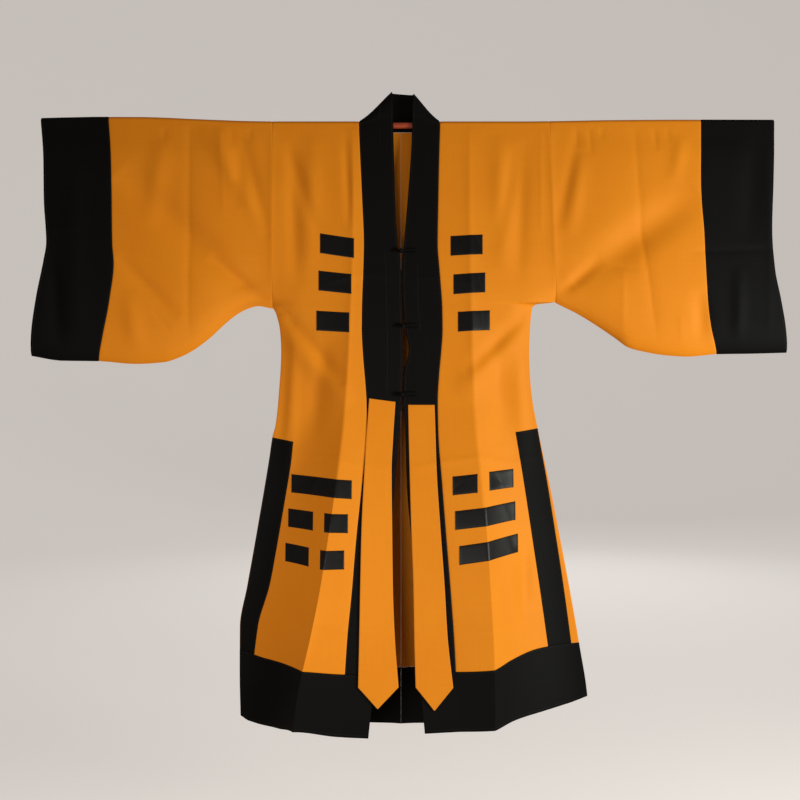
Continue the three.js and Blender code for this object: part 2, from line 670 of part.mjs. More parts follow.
// The collar is one straight strip. It runs up one front edge, folds slantwise over the shoulder,
// stands up round the back of the neck and comes down the other side. Each section has a point
// on the seam and one on the free edge.
const COLLAR_OVER = overRadius(COLLAR);
const NECK_SECTIONS = {
  right: [
    { turn: -20, seamX: 83.6, freeX: 16, freeY: -10, freeZ: 15 },
    { turn: 8, seamX: 83.6, freeX: 16.2, freeY: -10.2, freeZ: 27 },
    { turn: 35, seamX: 83.4, freeX: 16.4, freeY: -10, freeZ: 42 },
    { turn: 62, seamX: 83, freeX: 17, freeY: -8, freeZ: 56 },
    { turn: 90, seamX: 82, freeX: 18, freeY: -2, freeZ: 65.5 },
    { turn: 118, seamX: 80.4, freeX: 18.6, freeY: 4, freeZ: 67 },
    { turn: 146, seamX: 78.2, freeX: 18.2, freeY: 8.5, freeZ: 67 },
    { turn: 173, seamX: 75.4, freeX: 17.2, freeY: 10.4, freeZ: 67 },
  ],
  left: [
    { turn: -20, seamX: 77.6, freeX: 22.4, freeY: -10, freeZ: 15 },
    { turn: 8, seamX: 77.6, freeX: 22.6, freeY: -10.2, freeZ: 26 },
    { turn: 35, seamX: 77.4, freeX: 23, freeY: -10, freeZ: 39 },
    { turn: 62, seamX: 77, freeX: 23.8, freeY: -8, freeZ: 52 },
    { turn: 90, seamX: 76.2, freeX: 24.6, freeY: -2, freeZ: 62 },
    { turn: 118, seamX: 74.6, freeX: 25.2, freeY: 4, freeZ: 63.4 },
    { turn: 146, seamX: 72.4, freeX: 24.8, freeY: 8.5, freeZ: 63.6 },
    { turn: 173, seamX: 69.6, freeX: 23.8, freeY: 10.4, freeZ: 63.6 },
  ],
};
const NAPE_SECTIONS = [
  { seamX: -71, seamY: 9.6, seamZ: -4, freeX: -16, freeY: 11.5, freeZ: 66.7 },
  { seamX: -56, seamY: 10.6, seamZ: -9.4, freeX: -12, freeY: 12.2, freeZ: 66.4 },
  { seamX: -26, seamY: 11, seamZ: -11.4, freeX: -5, freeY: 12.8, freeZ: 65.8 },
  { seamX: 2, seamY: 11.2, seamZ: -11.6, freeX: 3, freeY: 13, freeZ: 65.2 },
  { seamX: 30, seamY: 11, seamZ: -11.4, freeX: 11, freeY: 12.8, freeZ: 64.6 },
  { seamX: 54, seamY: 10.6, seamZ: -9.4, freeX: 18, freeY: 12.2, freeZ: 64 },
  { seamX: 66, seamY: 9.6, seamZ: -4, freeX: 22.6, freeY: 11.5, freeZ: 63.8 },
];
const COLLAR_SHARES = [0, 0.35, 0.7, 1];
function collar() {
  const levels = [COLLAR_END, 505, 455, 405, 350, 295, 245, 195, 150, 105, 65, 32, 14];
  const frontSection = (side, drop) =>
    COLLAR_SHARES.map((share) => {
      const point = frontPoint(side, 1 - share, drop);
      if (share === 0) outward(point, side, -SEAM / 2);
      return point.setY(Math.min(point.y, -COLLAR_OVER));
    });
  const shoulderSection = (side, s) => {
    const turn = (s.turn * Math.PI) / 180;
    const seam = drawn(
      sign[side] * s.seamX,
      -COLLAR_OVER * Math.cos(turn),
      rodHeight(s.seamX) + COLLAR_OVER * Math.sin(turn),
    );
    const free = drawn(sign[side] * s.freeX, s.freeY, s.freeZ);
    return COLLAR_SHARES.map((share) => {
      const p = seam.clone().lerp(free, share);
      const fold = Math.sin(Math.PI * share) * Math.sin(Math.PI * clamp((s.turn + 20) / 190));
      return p.setZ(p.z - 5 * fold * (1 - share));
    });
  };
  const sections = [
    ...levels.map((d) => frontSection("right", d)),
    ...NECK_SECTIONS.right.map((s) => shoulderSection("right", s)),
    ...NAPE_SECTIONS.map((s) =>
      COLLAR_SHARES.map((share) =>
        drawn(s.seamX, s.seamY, s.seamZ).lerp(drawn(s.freeX, s.freeY, s.freeZ), share),
      ),
    ),
    ...[...NECK_SECTIONS.left].reverse().map((s) => shoulderSection("left", s)),
    ...[...levels].reverse().map((d) => frontSection("left", d)),
  ];
  const turnAt = (i) => {
    const [first, second] = [levels.length, sections.length - levels.length - 1];
    return (NECK_SECTIONS.right[i - first] ?? NECK_SECTIONS.left[second - i])?.turn;
  };
  return wall(sections, COLLAR, {
    normalAt: (i, j) => {
      const turn = j === 0 ? turnAt(i) : undefined;
      return turn === undefined ? null : radial((turn * Math.PI) / 180, -1);
    },
  });
}

// The band on a front edge below the collar.
function edgeBand(side) {
  const levels = [COLLAR_END + SEAM, ...bodyLevels(side).filter((d) => d > COLLAR_END + 20)];
  const rows = levels.map((level, i) =>
    [0, 0.5, 1].map((a) => {
      const seam = read(HEM[side], "across", "seam", a);
      const inset = i === levels.length - 1 ? SEAM / 2 : 0;
      const point = frontPoint(side, a, stretched(level, seam) - inset);
      return a === 1 ? outward(point, side, -SEAM / 2) : point;
    }),
  );
  return wall(rows, BAND, { flip: side === "left" });
}

function frontHem(side) {
  const columns = [0, 1, 1.5, ...PANEL_ACROSS.slice(2)];
  const rows = steps(0, 1, 3).map((t) =>
    columns.map((a) => {
      const seam = read(HEM[side], "across", "seam", a) + SEAM / 2;
      return frontPoint(side, a, mix(seam, read(HEM[side], "across", "edge", a), t));
    }),
  );
  return wall(rows, BAND, { flip: side === "left" });
}

function backHem(side) {
  const rows = steps(0, 1, 3).map((t) =>
    steps(0, 1, 8).map((share) => {
      const seam = read(BACK_HEM, "share", "seam", share) + SEAM / 2;
      return backPoint(side, share, mix(seam, read(BACK_HEM, "share", "edge", share), t));
    }),
  );
  return wall(rows, BAND, { flip: side === "right" });
}

// A point on the front panel as it is built, which is flat between its own lines.
function onPanel(side, across, drop) {
  const k = Math.max(1, PANEL_ACROSS.findIndex((a) => a >= across));
  const [a, b] = [PANEL_ACROSS[k - 1], PANEL_ACROSS[k]];
  return frontPoint(side, a, drop).lerp(frontPoint(side, b, drop), (across - a) / (b - a));
}

// The front panel's own lines that lie inside every row of a piece laid on it, so that the piece
// bends where the panel bends.
function panelLinesBetween(ends) {
  const least = Math.max(...ends.map((e) => e[0])) + 0.02;
  const most = Math.min(...ends.map((e) => e[1])) - 0.02;
  return PANEL_ACROSS.filter((a) => a > least && a < most);
}

// The trim beside a slit lies on the panel. On the left front it runs straight while the panel's
// edge flares out past it.
const SLIT_RUN_OUT = { right: 0, left: 17 };
const SLIT_EDGE = 0.6;
function slitLevels(side) {
  const top = SLIT_TOP[side];
  return [top, ...bodyLevels(side).filter((d) => d > top)];
}

function frontSlitBand(side) {
  const levels = slitLevels(side);
  const ends = levels.map((level, i) => {
    const t = i / (levels.length - 1);
    const narrow = side === "right" ? 10 * ease((t - 0.6) / 0.4) : 0;
    const edge = read(FRONT_LINES[side], "drop", "side", level);
    const outer = edge - SLIT_EDGE - SLIT_RUN_OUT[side] * t;
    return [outer - SLIT_BAND_WIDTH + narrow, outer].map((x) => acrossAt(side, x, level));
  });
  const between = panelLinesBetween(ends);
  const rows = levels.map((level, i) =>
    [ends[i][0], ...between, ends[i][1]].map((a) => {
      const seam = read(HEM[side], "across", "seam", a);
      const inset = i === levels.length - 1 ? SEAM / 2 : 0;
      return onPanel(side, a, stretched(level, seam) - inset);
    }),
  );
  const flip = side === "left";
  return wall(movedOut(rows, CLOTH + LIFT, flip), CLOTH, { flip });
}

function backSlitBand(side) {
  const rows = slitLevels(side).map((level) => {
    const edge =
      read(FRONT_LINES[side], "drop", "side", level) - read(BACK_INSET, "drop", "by", level);
    const inner = (edge - SLIT_EDGE - SLIT_BAND_WIDTH) / edge;
    const outer = (edge - SLIT_EDGE) / edge;
    return [inner, BACK_SHARES[3], BACK_SHARES[4], outer].map((share) => {
      const seam = read(BACK_HEM, "share", "seam", share) - SEAM / 2;
      return backPoint(side, share, stretched(level, seam));
    });
  });
  const flip = side === "right";
  return wall(movedOut(rows, CLOTH + 1.5 * LIFT, flip), CLOTH, { flip });
}

// Each ribbon starts under the collar's end, lies on the edge band and ends in a point.
function ribbon(side) {
  const table = RIBBONS[side];
  const bottom = table[table.length - 1].drop;
  const tip = RIBBON_TIP[side];
  const edgesAt = (drop) => ["inner", "outer"].map((c) => read(table, "drop", c, drop));
  const place = (x, drop) => {
    const under = frontPoint(side, acrossAt(side, x, drop), drop);
    const loose = RIBBON_STAND * ease((drop - COLLAR_END) / 400);
    return drawn(under.x, under.y - BAND / 2 - LIFT - CLOTH / 2 - 0.2 - loose, -drop);
  };
  const shares = [0, 0.25, 0.5, 0.75, 1];
  const rows = steps(COLLAR_END + SEAM, bottom, 10).map((drop) => {
    const [inner, outer] = edgesAt(drop);
    return shares.map((s) => place(mix(inner, outer, s), drop));
  });
  const [inner, outer] = edgesAt(bottom);
  for (const t of [0.5, 0.94])
    rows.push(
      shares.map((s) => {
        const x = mix(mix(inner, outer, s), tip.x, t);
        return place(x, mix(bottom, tip.drop, t));
      }),
    );
  return wall(rows, CLOTH, { flip: side === "left" });
}

// A trigram bar lies flat on the front panel's own surface, bent where the panel is bent.
function bar({ side, x, drop, wide, fall }) {
  const downs = steps(-0.5, 0.5, 2);
  const levelOf = (down, out) => drop + down * BAR_HEIGHT + out * fall;
  const ends = downs.map((down) =>
    [-0.5, 0.5].map((out) => acrossAt(side, x + out * wide, levelOf(down, out))),
  );
  const between = panelLinesBetween(ends);
  const rows = downs.map((down, i) => {
    const [first, last] = ends[i];
    return [first, ...between, last].map((a) =>
      onPanel(side, a, levelOf(down, (a - first) / (last - first) - 0.5)),
    );
  });
  const flip = side === "left";
  return wall(movedOut(rows, CLOTH / 2 + LIFT + PATCH / 2, flip), PATCH, { flip });
}

// A knot button: the ball and its strap on the right edge, the loop on the left edge.
function collarFace(side, from, to, drop) {
  const depths = steps(from, to, 4).map((x) => {
    const inside = Math.max(x, read(FRONT_LINES[side], "drop", "free", drop));
    return frontPoint(side, acrossAt(side, inside, drop), drop).y;
  });
  return Math.min(...depths) - COLLAR / 2 - LIFT;
}

function knot({ drop, x }) {
  const { radius, length } = KNOT_STRAP;
  const neck = Math.asin(radius / KNOT_RADIUS);
  const ball = steps(0, Math.PI - neck, 5).map((turn) =>
    new THREE.Vector2(KNOT_RADIUS * Math.sin(turn), KNOT_RADIUS * Math.cos(turn)),
  );
  ball[0].x = 0;
  const profile = [...ball, new THREE.Vector2(radius, -length), new THREE.Vector2(0, -length)];
  const geometry = new THREE.LatheGeometry(profile.reverse(), 8);
  geometry.rotateZ(-Math.PI / 2 - Math.asin((KNOT_RADIUS - radius) / length));
  const y = collarFace("right", 0, length - x, drop) - KNOT_RADIUS;
  geometry.translate(x, y, -drop);
  return geometry;
}

function loop({ drop, x }) {
  const neckX = x + KNOT_RADIUS + LOOP_RADIUS + LOOP_CORD;
  const y = collarFace("left", neckX, neckX + LOOP_LENGTH, drop) - LOOP_CORD;
  const bend = steps(-90, 90, 4).map((degrees) => {
    const turn = (degrees * Math.PI) / 180;
    return drawn(neckX - LOOP_RADIUS * Math.cos(turn), y, LOOP_RADIUS * Math.sin(turn) - drop);
  });
  const tail = (z) => drawn(neckX + LOOP_LENGTH, y, z - drop);
  const path = new THREE.CatmullRomCurve3([tail(-LOOP_RADIUS), ...bend, tail(LOOP_RADIUS)]);
  const section = new THREE.Shape(
    steps(0, 2 * Math.PI, 6)
      .slice(0, 6)
      .map((turn) =>
        new THREE.Vector2(LOOP_CORD * Math.cos(turn), LOOP_CORD * Math.sin(turn)),
      ),
  );
  return new THREE.ExtrudeGeometry(section, { steps: 14, extrudePath: path, curveSegments: 1 });
}

add("rod", rodGeometry(), paintedRod);
for (const side of SIDES) {
  add(`back_${side}`, backPanel(side), yellowCloth);
  add(`front_${side}`, frontPanel(side), yellowCloth);
  add(`sleeve_${side}`, sleeve(side), yellowCloth);
  add(`cuff_${side}`, cuff(side), blackCloth);
  add(`edge_band_${side}`, edgeBand(side), blackCloth);
  add(`hem_front_${side}`, frontHem(side), blackCloth);
  add(`hem_back_${side}`, backHem(side), blackCloth);
  add(`slit_band_front_${side}`, frontSlitBand(side), blackCloth);
  add(`slit_band_back_${side}`, backSlitBand(side), blackCloth);
  add(`ribbon_${side}`, ribbon(side), yellowCloth);
}
add("collar", collar(), blackCloth);
for (const shape of BARS) add(`bar_${shape.name}`, bar(shape), blackSatin);
BUTTONS.forEach((button, i) => {
  add(`knot_${i + 1}`, knot(button), blackCloth);
  add(`loop_${i + 1}`, loop(button), blackCloth);
});

export default robe;
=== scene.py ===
import math

import bpy
import numpy as np
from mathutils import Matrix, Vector


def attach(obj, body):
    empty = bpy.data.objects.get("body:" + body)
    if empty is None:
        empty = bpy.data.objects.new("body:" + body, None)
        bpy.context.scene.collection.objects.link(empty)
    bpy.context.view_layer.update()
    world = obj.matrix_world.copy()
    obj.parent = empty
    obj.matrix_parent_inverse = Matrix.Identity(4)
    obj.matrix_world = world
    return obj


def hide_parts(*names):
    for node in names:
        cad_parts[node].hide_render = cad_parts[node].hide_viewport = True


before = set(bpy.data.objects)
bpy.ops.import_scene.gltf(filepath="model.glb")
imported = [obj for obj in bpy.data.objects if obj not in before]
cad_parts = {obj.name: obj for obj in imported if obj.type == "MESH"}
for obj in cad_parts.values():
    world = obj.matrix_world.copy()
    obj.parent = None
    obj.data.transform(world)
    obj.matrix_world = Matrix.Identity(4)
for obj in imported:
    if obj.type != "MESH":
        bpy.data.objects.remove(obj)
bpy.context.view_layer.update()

# The rod is a turned stick of wood, 12 mm thick and lacquered orange-red. Both halves bow up a
# little. Its ends are sawn square with eased edges, and the lacquer has worn off them.
MM = 0.001
ROD_RADIUS = 6
ROD_HALF_LENGTH = 708
ROD_EASED = 1.2
LACQUER = (0.45, 0.065, 0.018, 1)
LACQUER_DEEP = (0.26, 0.03, 0.01, 1)
BARE_WOOD = (0.36, 0.2, 0.09, 1)


def add_node(tree, kind, settings, sockets):
    """A new node. Each of its sockets is given a value, or is linked to the socket given."""
    made = tree.nodes.new(kind)
    for name, value in dict(settings).items():
        setattr(made, name, value)
    for name, value in dict(sockets).items():
        if isinstance(value, bpy.types.NodeSocket):
            tree.links.new(value, made.inputs[name])
        else:
            made.inputs[name].default_value = value
    return made


class Flow:
    """What leaves a shader socket. Each sign used on it adds the Math node that it stands for."""

    def __init__(self, finish, socket):
        self.finish = finish
        self.socket = socket

    def __add__(self, other):
        return self.finish.maths("ADD", self, other)

    def __sub__(self, other):
        return self.finish.maths("SUBTRACT", self, other)

    def __mul__(self, other):
        return self.finish.maths("MULTIPLY", self, other)


class Finish:
    """A material that is put together node by node."""

    def __init__(self, name):
        self.material = bpy.data.materials.new(name)
        self.material.use_nodes = True
        self.tree = self.material.node_tree
        self.tree.nodes.clear()

    def node(self, kind, out, settings=(), sockets=()):
        given = {n: v.socket if isinstance(v, Flow) else v for n, v in dict(sockets).items()}
        made = add_node(self.tree, kind, settings, given)
        if isinstance(out, tuple):
            return [Flow(self, made.outputs[o]) for o in out]
        return None if out is None else Flow(self, made.outputs[out])

    def maths(self, operation, *values):
        return self.node("ShaderNodeMath", 0, {"operation": operation}, enumerate(values))

    def place(self):
        """Where a point of the surface lies on its object."""
        return self.node("ShaderNodeTexCoord", "Object")

    def cut(self):
        """Where it lies on the flat cut of its cloth."""
        return self.node("ShaderNodeUVMap", "UV", {"uv_map": "cut"})

    def clamped(self, value):
        return self.maths("MAXIMUM", self.maths("MINIMUM", value, 1), 0)

    def stretched(self, vector, sizes):
        return self.node("ShaderNodeVectorMath", 0, {"operation": "MULTIPLY"}, {0: vector, 1: sizes})

    def noise(self, vector, scale=1.0, detail=2.0):
        sockets = {"Vector": vector, "Scale": scale, "Detail": detail}
        return self.node("ShaderNodeTexNoise", 0, (), sockets)

    def blend(self, share, first, second):
        sockets = {0: share, 6: first, 7: second}
        return self.node("ShaderNodeMix", 2, {"data_type": "RGBA"}, sockets)

    def bump(self, height, depth, strength=1.0):
        sockets = {"Height": height, "Distance": depth * MM, "Strength": strength}
        return self.node("ShaderNodeBump", 0, (), sockets)

    def closed(self, sockets):
        """The finished material, with these sockets of its one surface shader."""
        surface = self.node("ShaderNodeBsdfPrincipled", 0, (), sockets)
        self.node("ShaderNodeOutputMaterial", None, (), {"Surface": surface})
        return self.material


def lacquered_wood():
    finish = Finish("lacquered_wood")
    place = finish.place()
    grain = finish.noise(finish.stretched(place, (9, 420, 420)), detail=4)
    blotches = finish.noise(place, scale=55, detail=3)
    along = finish.node("ShaderNodeSeparateXYZ", "X", (), {"Vector": place})
    near_end = (finish.maths("ABSOLUTE", along) - (ROD_HALF_LENGTH - 7) * MM) * 260
    worn = finish.clamped(near_end + blotches * 1.6 - 0.8)
    paint = finish.blend(grain * 0.7 + blotches * 0.3, LACQUER_DEEP, LACQUER)
    relief = grain * 0.6 + blotches * 0.4 - worn * 0.5
    return finish.closed({
        "Base Color": finish.blend(worn, paint, BARE_WOOD),
        "Roughness": blotches * 0.2 + worn * 0.3 + 0.25,
        "Normal": finish.bump(relief, depth=0.12, strength=0.6),
        "Coat Weight": 0.35,
        "Coat Roughness": 0.12,
    })


def in_scene(name, data):
    """A new object that holds this data."""
    made = bpy.data.objects.new(name, data)
    bpy.context.scene.collection.objects.link(made)
    return made


def mesh_piece(name, corners, faces, material, smooth_to=48):
    """A mesh from corners in millimetres, smooth but for edges sharper than that angle."""
    mesh = bpy.data.meshes.new(name)
    mesh.from_pydata((np.asarray(corners, float) * MM).tolist(), [], faces)
    mesh.shade_smooth()
    mesh.set_sharp_from_angle(angle=math.radians(smooth_to))
    mesh.materials.append(material)
    return in_scene(name, mesh)


def tube(path, radius, sides, ends=True):
    """Points and faces of a round tube about a path. Without ends it closes on itself."""
    path = np.asarray(path, float)
    count = len(path)
    radius = np.broadcast_to(radius, count)
    before, after = np.roll(path, 1, axis=0), np.roll(path, -1, axis=0)
    if ends:
        before[0], after[-1] = path[0], path[-1]
    heading = after - before
    heading /= np.linalg.norm(heading, axis=1)[:, None]
    first = np.cross(heading[0], (0.31, 0.87, 0.38))
    rings = []
    for centre, ahead, size in zip(path, heading, radius):
        first = first - ahead * (first @ ahead)
        first /= np.linalg.norm(first)
        second = np.cross(ahead, first)
        turns = np.linspace(0, 2 * math.pi, sides, endpoint=False)[:, None]
        rings.append(centre + size * (np.cos(turns) * first + np.sin(turns) * second))
    faces = []
    for i in range(count - 1 if ends else count):
        for k in range(sides):
            here, there = i * sides, (i + 1) % count * sides
            faces.append((here + k, here + (k + 1) % sides, there + (k + 1) % sides, there + k))
    if ends:
        faces.append(tuple(reversed(range(sides))))
        faces.append(tuple((count - 1) * sides + k for k in range(sides)))
    return np.concatenate(rings), faces


def table(names, rows):
    """Named columns, each an array that runs down the rows."""
    return dict(zip(names.split(), np.array(rows, float).T))


def read(source, column, place):
    """A column of a table at places along its first one, smooth and never past its neighbours."""
    at, value = next(iter(source.values())), source[column]
    step = np.diff(at)
    slope = np.diff(value) / step
    same = slope[:-1] * slope[1:] > 0
    total = np.where(same, slope[:-1] + slope[1:], 1)
    between = np.where(same, 2 * slope[:-1] * slope[1:] / total, 0)
    tangent = np.concatenate([slope[:1], between, slope[-1:]])
    place = np.clip(place, at[0], at[-1])
    i = np.clip(np.searchsorted(at, place, side="right") - 1, 0, len(step) - 1)
    t = (place - at[i]) / step[i]
    s = 1 - t
    return (
        value[i] * (1 + 2 * t) * s * s
        + tangent[i] * step[i] * t * s * s
        + value[i + 1] * t * t * (3 - 2 * t)
        - tangent[i + 1] * step[i] * t * t * s
    )


ROD_BOW = table("x up", [
    (-740, 6), (-660, 8), (-600, 9), (-520, 8.8), (-470, 7.4), (-420, 5), (-360, 2.6), (-310, 0.8),
    (-250, 0), (250, 0), (330, 1), (420, 2.6), (560, 3.4), (780, 3),
])


def rod_height(x):
    """How far the rod's axis is bowed up. Minus x is the wearer's right."""
    return read(ROD_BOW, "up", x)


turns = np.radians([0, 30, 60, 90])
end_x = ROD_HALF_LENGTH - ROD_EASED * (1 - np.cos(turns))
end_radius = ROD_RADIUS - ROD_EASED * (1 - np.sin(turns))
inner_x = np.linspace(-1, 1, 61)[1:-1] * end_x[-1]
rod_x = np.concatenate([-end_x, inner_x, end_x[::-1]])
rod_radii = np.concatenate([end_radius, np.full(len(inner_x), ROD_RADIUS), end_radius[::-1]])
rod_path = np.stack([rod_x, 0 * rod_x, rod_height(rod_x)], axis=1)
rod = mesh_piece("rod_lacquered", *tube(rod_path, rod_radii, sides=36), lacquered_wood())
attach(rod, "root")
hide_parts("rod")

# The two fronts are straight-grained panels of yellow cotton, cut in one with the shoulder and
# flaring below the armpit. Storage has pressed a ridge down each and a few folds across it.
SIDES = ("right", "left")
SIGN = {"right": -1, "left": 1}
CLOTH = 1.0  # the thickness of the yellow cloth
CLOTH_FORM = 1.6  # the thickness that the rod's clearance is worked out for
ROD_GAP = 0.6
SEAM = 0.1
HEM_LEVEL = 1070
EVEN_TO = 900
SLEEVE_FADE = 360
ARMPIT = {"right": 366, "left": 354}
YELLOW = (0.84, 0.285, 0.008, 1)
YELLOW_DEEP = (0.75, 0.222, 0.004, 1)


# The distance of each line from the middle, and how far forward it hangs, at each drop.
FRONT_LINES = {
    "right": table("drop free band ridge side", [
        (0, 15.7, 84, 96, 257), (60, 14, 81.3, 95, 257), (150, 11.7, 77, 95, 257),
        (240, 6.5, 73.5, 95, 257), (290, 0, 74.5, 96.5, 257), (362, -1.2, 77, 99, 256.5),
        (376, -1.6, 77.2, 99.5, 250), (410, -2.6, 77.4, 101, 242), (450, -3.4, 75.6, 102.5, 239.6),
        (550, -1.2, 68, 108.7, 245.4), (600, 3, 66.8, 113, 251), (622, 5, 67, 115, 257),
        (665, 8, 71, 120, 263.4), (820, 21.4, 87, 141, 289.5), (920, 33, 95, 156.5, 307.5),
        (1003, 42, 103, 173, 322.4), (1100, 52.6, 109, 194.5, 323), (1200, 63, 114, 209, 321),
    ]),
    "left": table("drop free band ridge side", [
        (0, 22.5, 78, 137, 296), (60, 19.8, 76, 136.5, 298), (150, 13.2, 74, 136, 301),
        (240, 6, 72.5, 136.5, 304), (290, 3, 76, 137, 306), (353, 3.4, 80.8, 138.5, 308.6),
        (358, 3.6, 81.1, 138.7, 270), (366, 4.2, 81.4, 139, 262), (410, 9, 82, 140, 258),
        (450, 15, 79.5, 141, 256.5), (500, 6, 75, 142.5, 258), (550, 4.4, 72.3, 144, 263),
        (606, 8, 73, 147.5, 273.4), (720, 11.5, 80.8, 159, 297.6), (820, 20, 88.2, 166.2, 317),
        (920, 26, 96, 172, 336), (1036, 32.5, 103.6, 177.5, 356.6),
        (1139, 41, 107.6, 179, 373), (1200, 46.6, 109.6, 178.5, 377),
    ]),
}
LINE_NAMES = ("free", "band", "ridge", "side")
# From the ridge the panel heads for the flank's depth. Only its last part is drawn in to the side.
FRONT_DEPTHS = table("drop free band ridge flank side hollow", [
    (0, 9.6, 8.6, 7.8, 7.4, 7.4, 0), (60, 14, 14, 14, 13, 13, 0), (150, 19, 20, 21, 19, 19, 0),
    (250, 23, 25, 26, 20, 20, 0), (325, 26, 28, 29, 17, 13, 0.1), (345, 26.6, 28.7, 29.8, 15.4, 7, 0.15),
    (353, 27, 29, 30, 14.7, 1.6, 0.2), (366, 27.5, 29.6, 30.8, 13.5, 0.6, 0.2),
    (480, 31, 34, 37, 3.4, 0.6, 0.35), (550, 35, 38, 43, 0.6, 0.6, 0.5),
    (620, 42, 46, 54, 0.6, 0.6, 0.6), (720, 55, 60, 70, 1.6, 1.6, 0.75),
    (820, 68, 73, 84, 2, 2, 0.85), (920, 80, 84, 96, 1, 1, 0.95), (1020, 90, 93, 105, -1, -1, 1),
    (1200, 103, 105, 114, -5, -5, 1),
])
DRAWN_IN = 0.4  # how much of the last part, beside the side, is drawn in
STILL_ABOVE_PIT = 20  # the creases fade out at the side from this far above the armpit down
STILL_BELOW_ROD = 14  # a drop below the rod by which the front's creases have their full depth
HEM = {
    "right": table("across seam edge", [
        (0, 1078, 1196), (1, 1075, 1193), (2, 1067, 1181), (2.28, 1065, 1190), (2.62, 1062, 1194.5),
        (2.85, 1055, 1191), (3, 1049, 1181),
    ]),
    "left": table("across seam edge", [
        (0, 1072, 1187), (1, 1070, 1183), (2, 1064.5, 1178.5), (2.2, 1054, 1171.5),
        (2.5, 1041.5, 1166), (2.8, 1037, 1155), (3, 1034, 1142),
    ]),
}

# The creases of the front layer, each a path of (distance from the middle, drop). Pressed ones
# have a sharp edge and soft ones are rounded; a negative rise goes back.
CREASES = {
    "right": [
        ("soft", [(292, 346), (560, 96)], -11.9, 34),
        ("soft", [(236, 404), (96, 560)], 6.6, 24),
        ("pressed", [(421, -8), (421, 452)], -2.4, 9),
        ("pressed", [(257, 0), (257, 366)], 2.1, 6),
        ("pressed", [(360, 0), (350, 190)], 1.1, 6),
        ("soft", [(400, 0), (264, 218)], 4.3, 16),
        ("soft", [(564, 265), (440, 385)], -4.6, 14),
        ("pressed", [(494, 367), (456, 413)], -1.3, 4),
        ("pressed", [(218, 654), (121, 667), (75, 677), (12, 692)], 1.8, 6),
        ("pressed", [(268, 956), (180, 974), (100, 991), (12, 996)], 1.8, 6),
        ("pressed", [(96, 0), (95, 150), (96.5, 290), (101, 410), (108.7, 550)], 3.2, 14),
        ("pressed", [(10, 305), (72, 301), (150, 316)], 1.1, 5),
        ("soft", [(176, 20), (182, 300)], 3.7, 18),
        ("soft", [(218, 40), (208, 330)], -4, 15),
        ("soft", [(150, 420), (176, 640)], -5.1, 20),
        ("soft", [(212, 430), (224, 700)], 4.3, 16),
        ("soft", [(324, 10), (318, 170)], -2.9, 14),
        ("soft", [(470, 20), (500, 210)], 3.5, 20),
        ("soft", [(540, 330), (520, 470)], 3.5, 18),
        ("pressed", [(300, 6), (302, 34)], -1.5, 4),
        ("pressed", [(338, 6), (335, 44)], -1.5, 5),
        ("pressed", [(470, 6), (473, 36)], -1.3, 4),
        ("pressed", [(640, 210), (712, 214)], 1.3, 6),
        ("soft", [(650, 20), (644, 460)], 3.5, 22),
        ("soft", [(690, 240), (676, 470)], -4, 16),
        ("soft", [(262, 362), (380, 262)], -5.6, 12),
        ("soft", [(230, 34), (161, 232)], -3.8, 14),
        ("soft", [(111, 16), (102, 212)], -2.9, 8),
        ("pressed", [(244, 367), (220, 377)], -1.7, 4),
        ("pressed", [(240, 384), (208, 398)], -1.3, 4),
        ("soft", [(232, 380), (112, 520)], -6.4, 15),
        ("soft", [(319, 10), (264, 232)], -3.2, 12),
        ("soft", [(369, 8), (329, 113)], 3.2, 12),
        ("pressed", [(158, 930), (173, 1003), (190, 1075)], 1.7, 5),
    ],
    "left": [
        ("soft", [(340, 318), (590, 140)], -11.9, 34),
        ("soft", [(252, 396), (110, 540)], 6.6, 24),
        ("pressed", [(296, 0), (304, 240), (308.6, 353)], 2.4, 6),
        ("pressed", [(464, 0), (477, 215), (510, 453)], -2.4, 9),
        ("pressed", [(568, 255), (612, 255), (740, 251)], -1.5, 5),
        ("pressed", [(412, 283), (468, 291)], -1.5, 5),
        ("pressed", [(348, 6), (351, 44)], -1.8, 5),
        ("pressed", [(376, 6), (378, 60)], -1.5, 4),
        ("pressed", [(400, 6), (401, 30)], -1.5, 4),
        ("pressed", [(504, 6), (508, 52)], -1.8, 5),
        ("pressed", [(530, 6), (532, 34)], -1.3, 4),
        ("pressed", [(552, 380), (560, 450)], 1.1, 5),
        ("pressed", [(440, 290), (440, 430)], 1.1, 5),
        ("pressed", [(278, 0), (278, 220)], 1.1, 5),
        ("pressed", [(728, 10), (728, 440)], 1.3, 6),
        ("soft", [(668, 285), (668, 452)], 4, 12),
        ("pressed", [(12, 685), (78, 671), (151, 661), (223, 675), (282, 657)], 1.8, 6),
        ("pressed", [(27, 997), (103, 977), (285, 980)], 1.8, 6),
        ("soft", [(243, 830), (243, 990)], -6.4, 14),
        ("pressed", [(137, 0), (136, 150), (137, 290), (140, 410), (144, 550)], 3.2, 14),
        ("pressed", [(10, 312), (74, 306), (140, 321)], 1.1, 5),
        ("soft", [(196, 20), (202, 300)], 4, 18),
        ("soft", [(244, 30), (232, 320)], -3.7, 15),
        ("soft", [(186, 420), (204, 640)], -5.1, 20),
        ("soft", [(232, 430), (246, 700)], 4, 16),
        ("soft", [(360, 60), (330, 230)], 3.7, 16),
        ("soft", [(560, 20), (540, 120)], 2.9, 14),
        ("soft", [(590, 330), (600, 452)], -4.3, 16),
        ("soft", [(700, 30), (690, 240)], -3.5, 20),
        ("soft", [(300, 352), (400, 268)], -5.6, 12),
        ("soft", [(226, 40), (190, 250)], -3.2, 14),
        ("pressed", [(300, 358), (276, 366)], -1.7, 4),
        ("soft", [(256, 372), (124, 500)], -6.4, 15),
        ("soft", [(352, 14), (312, 210)], -2.6, 12),
    ],
}


def mix(first, second, share):
    return first + (second - first) * share


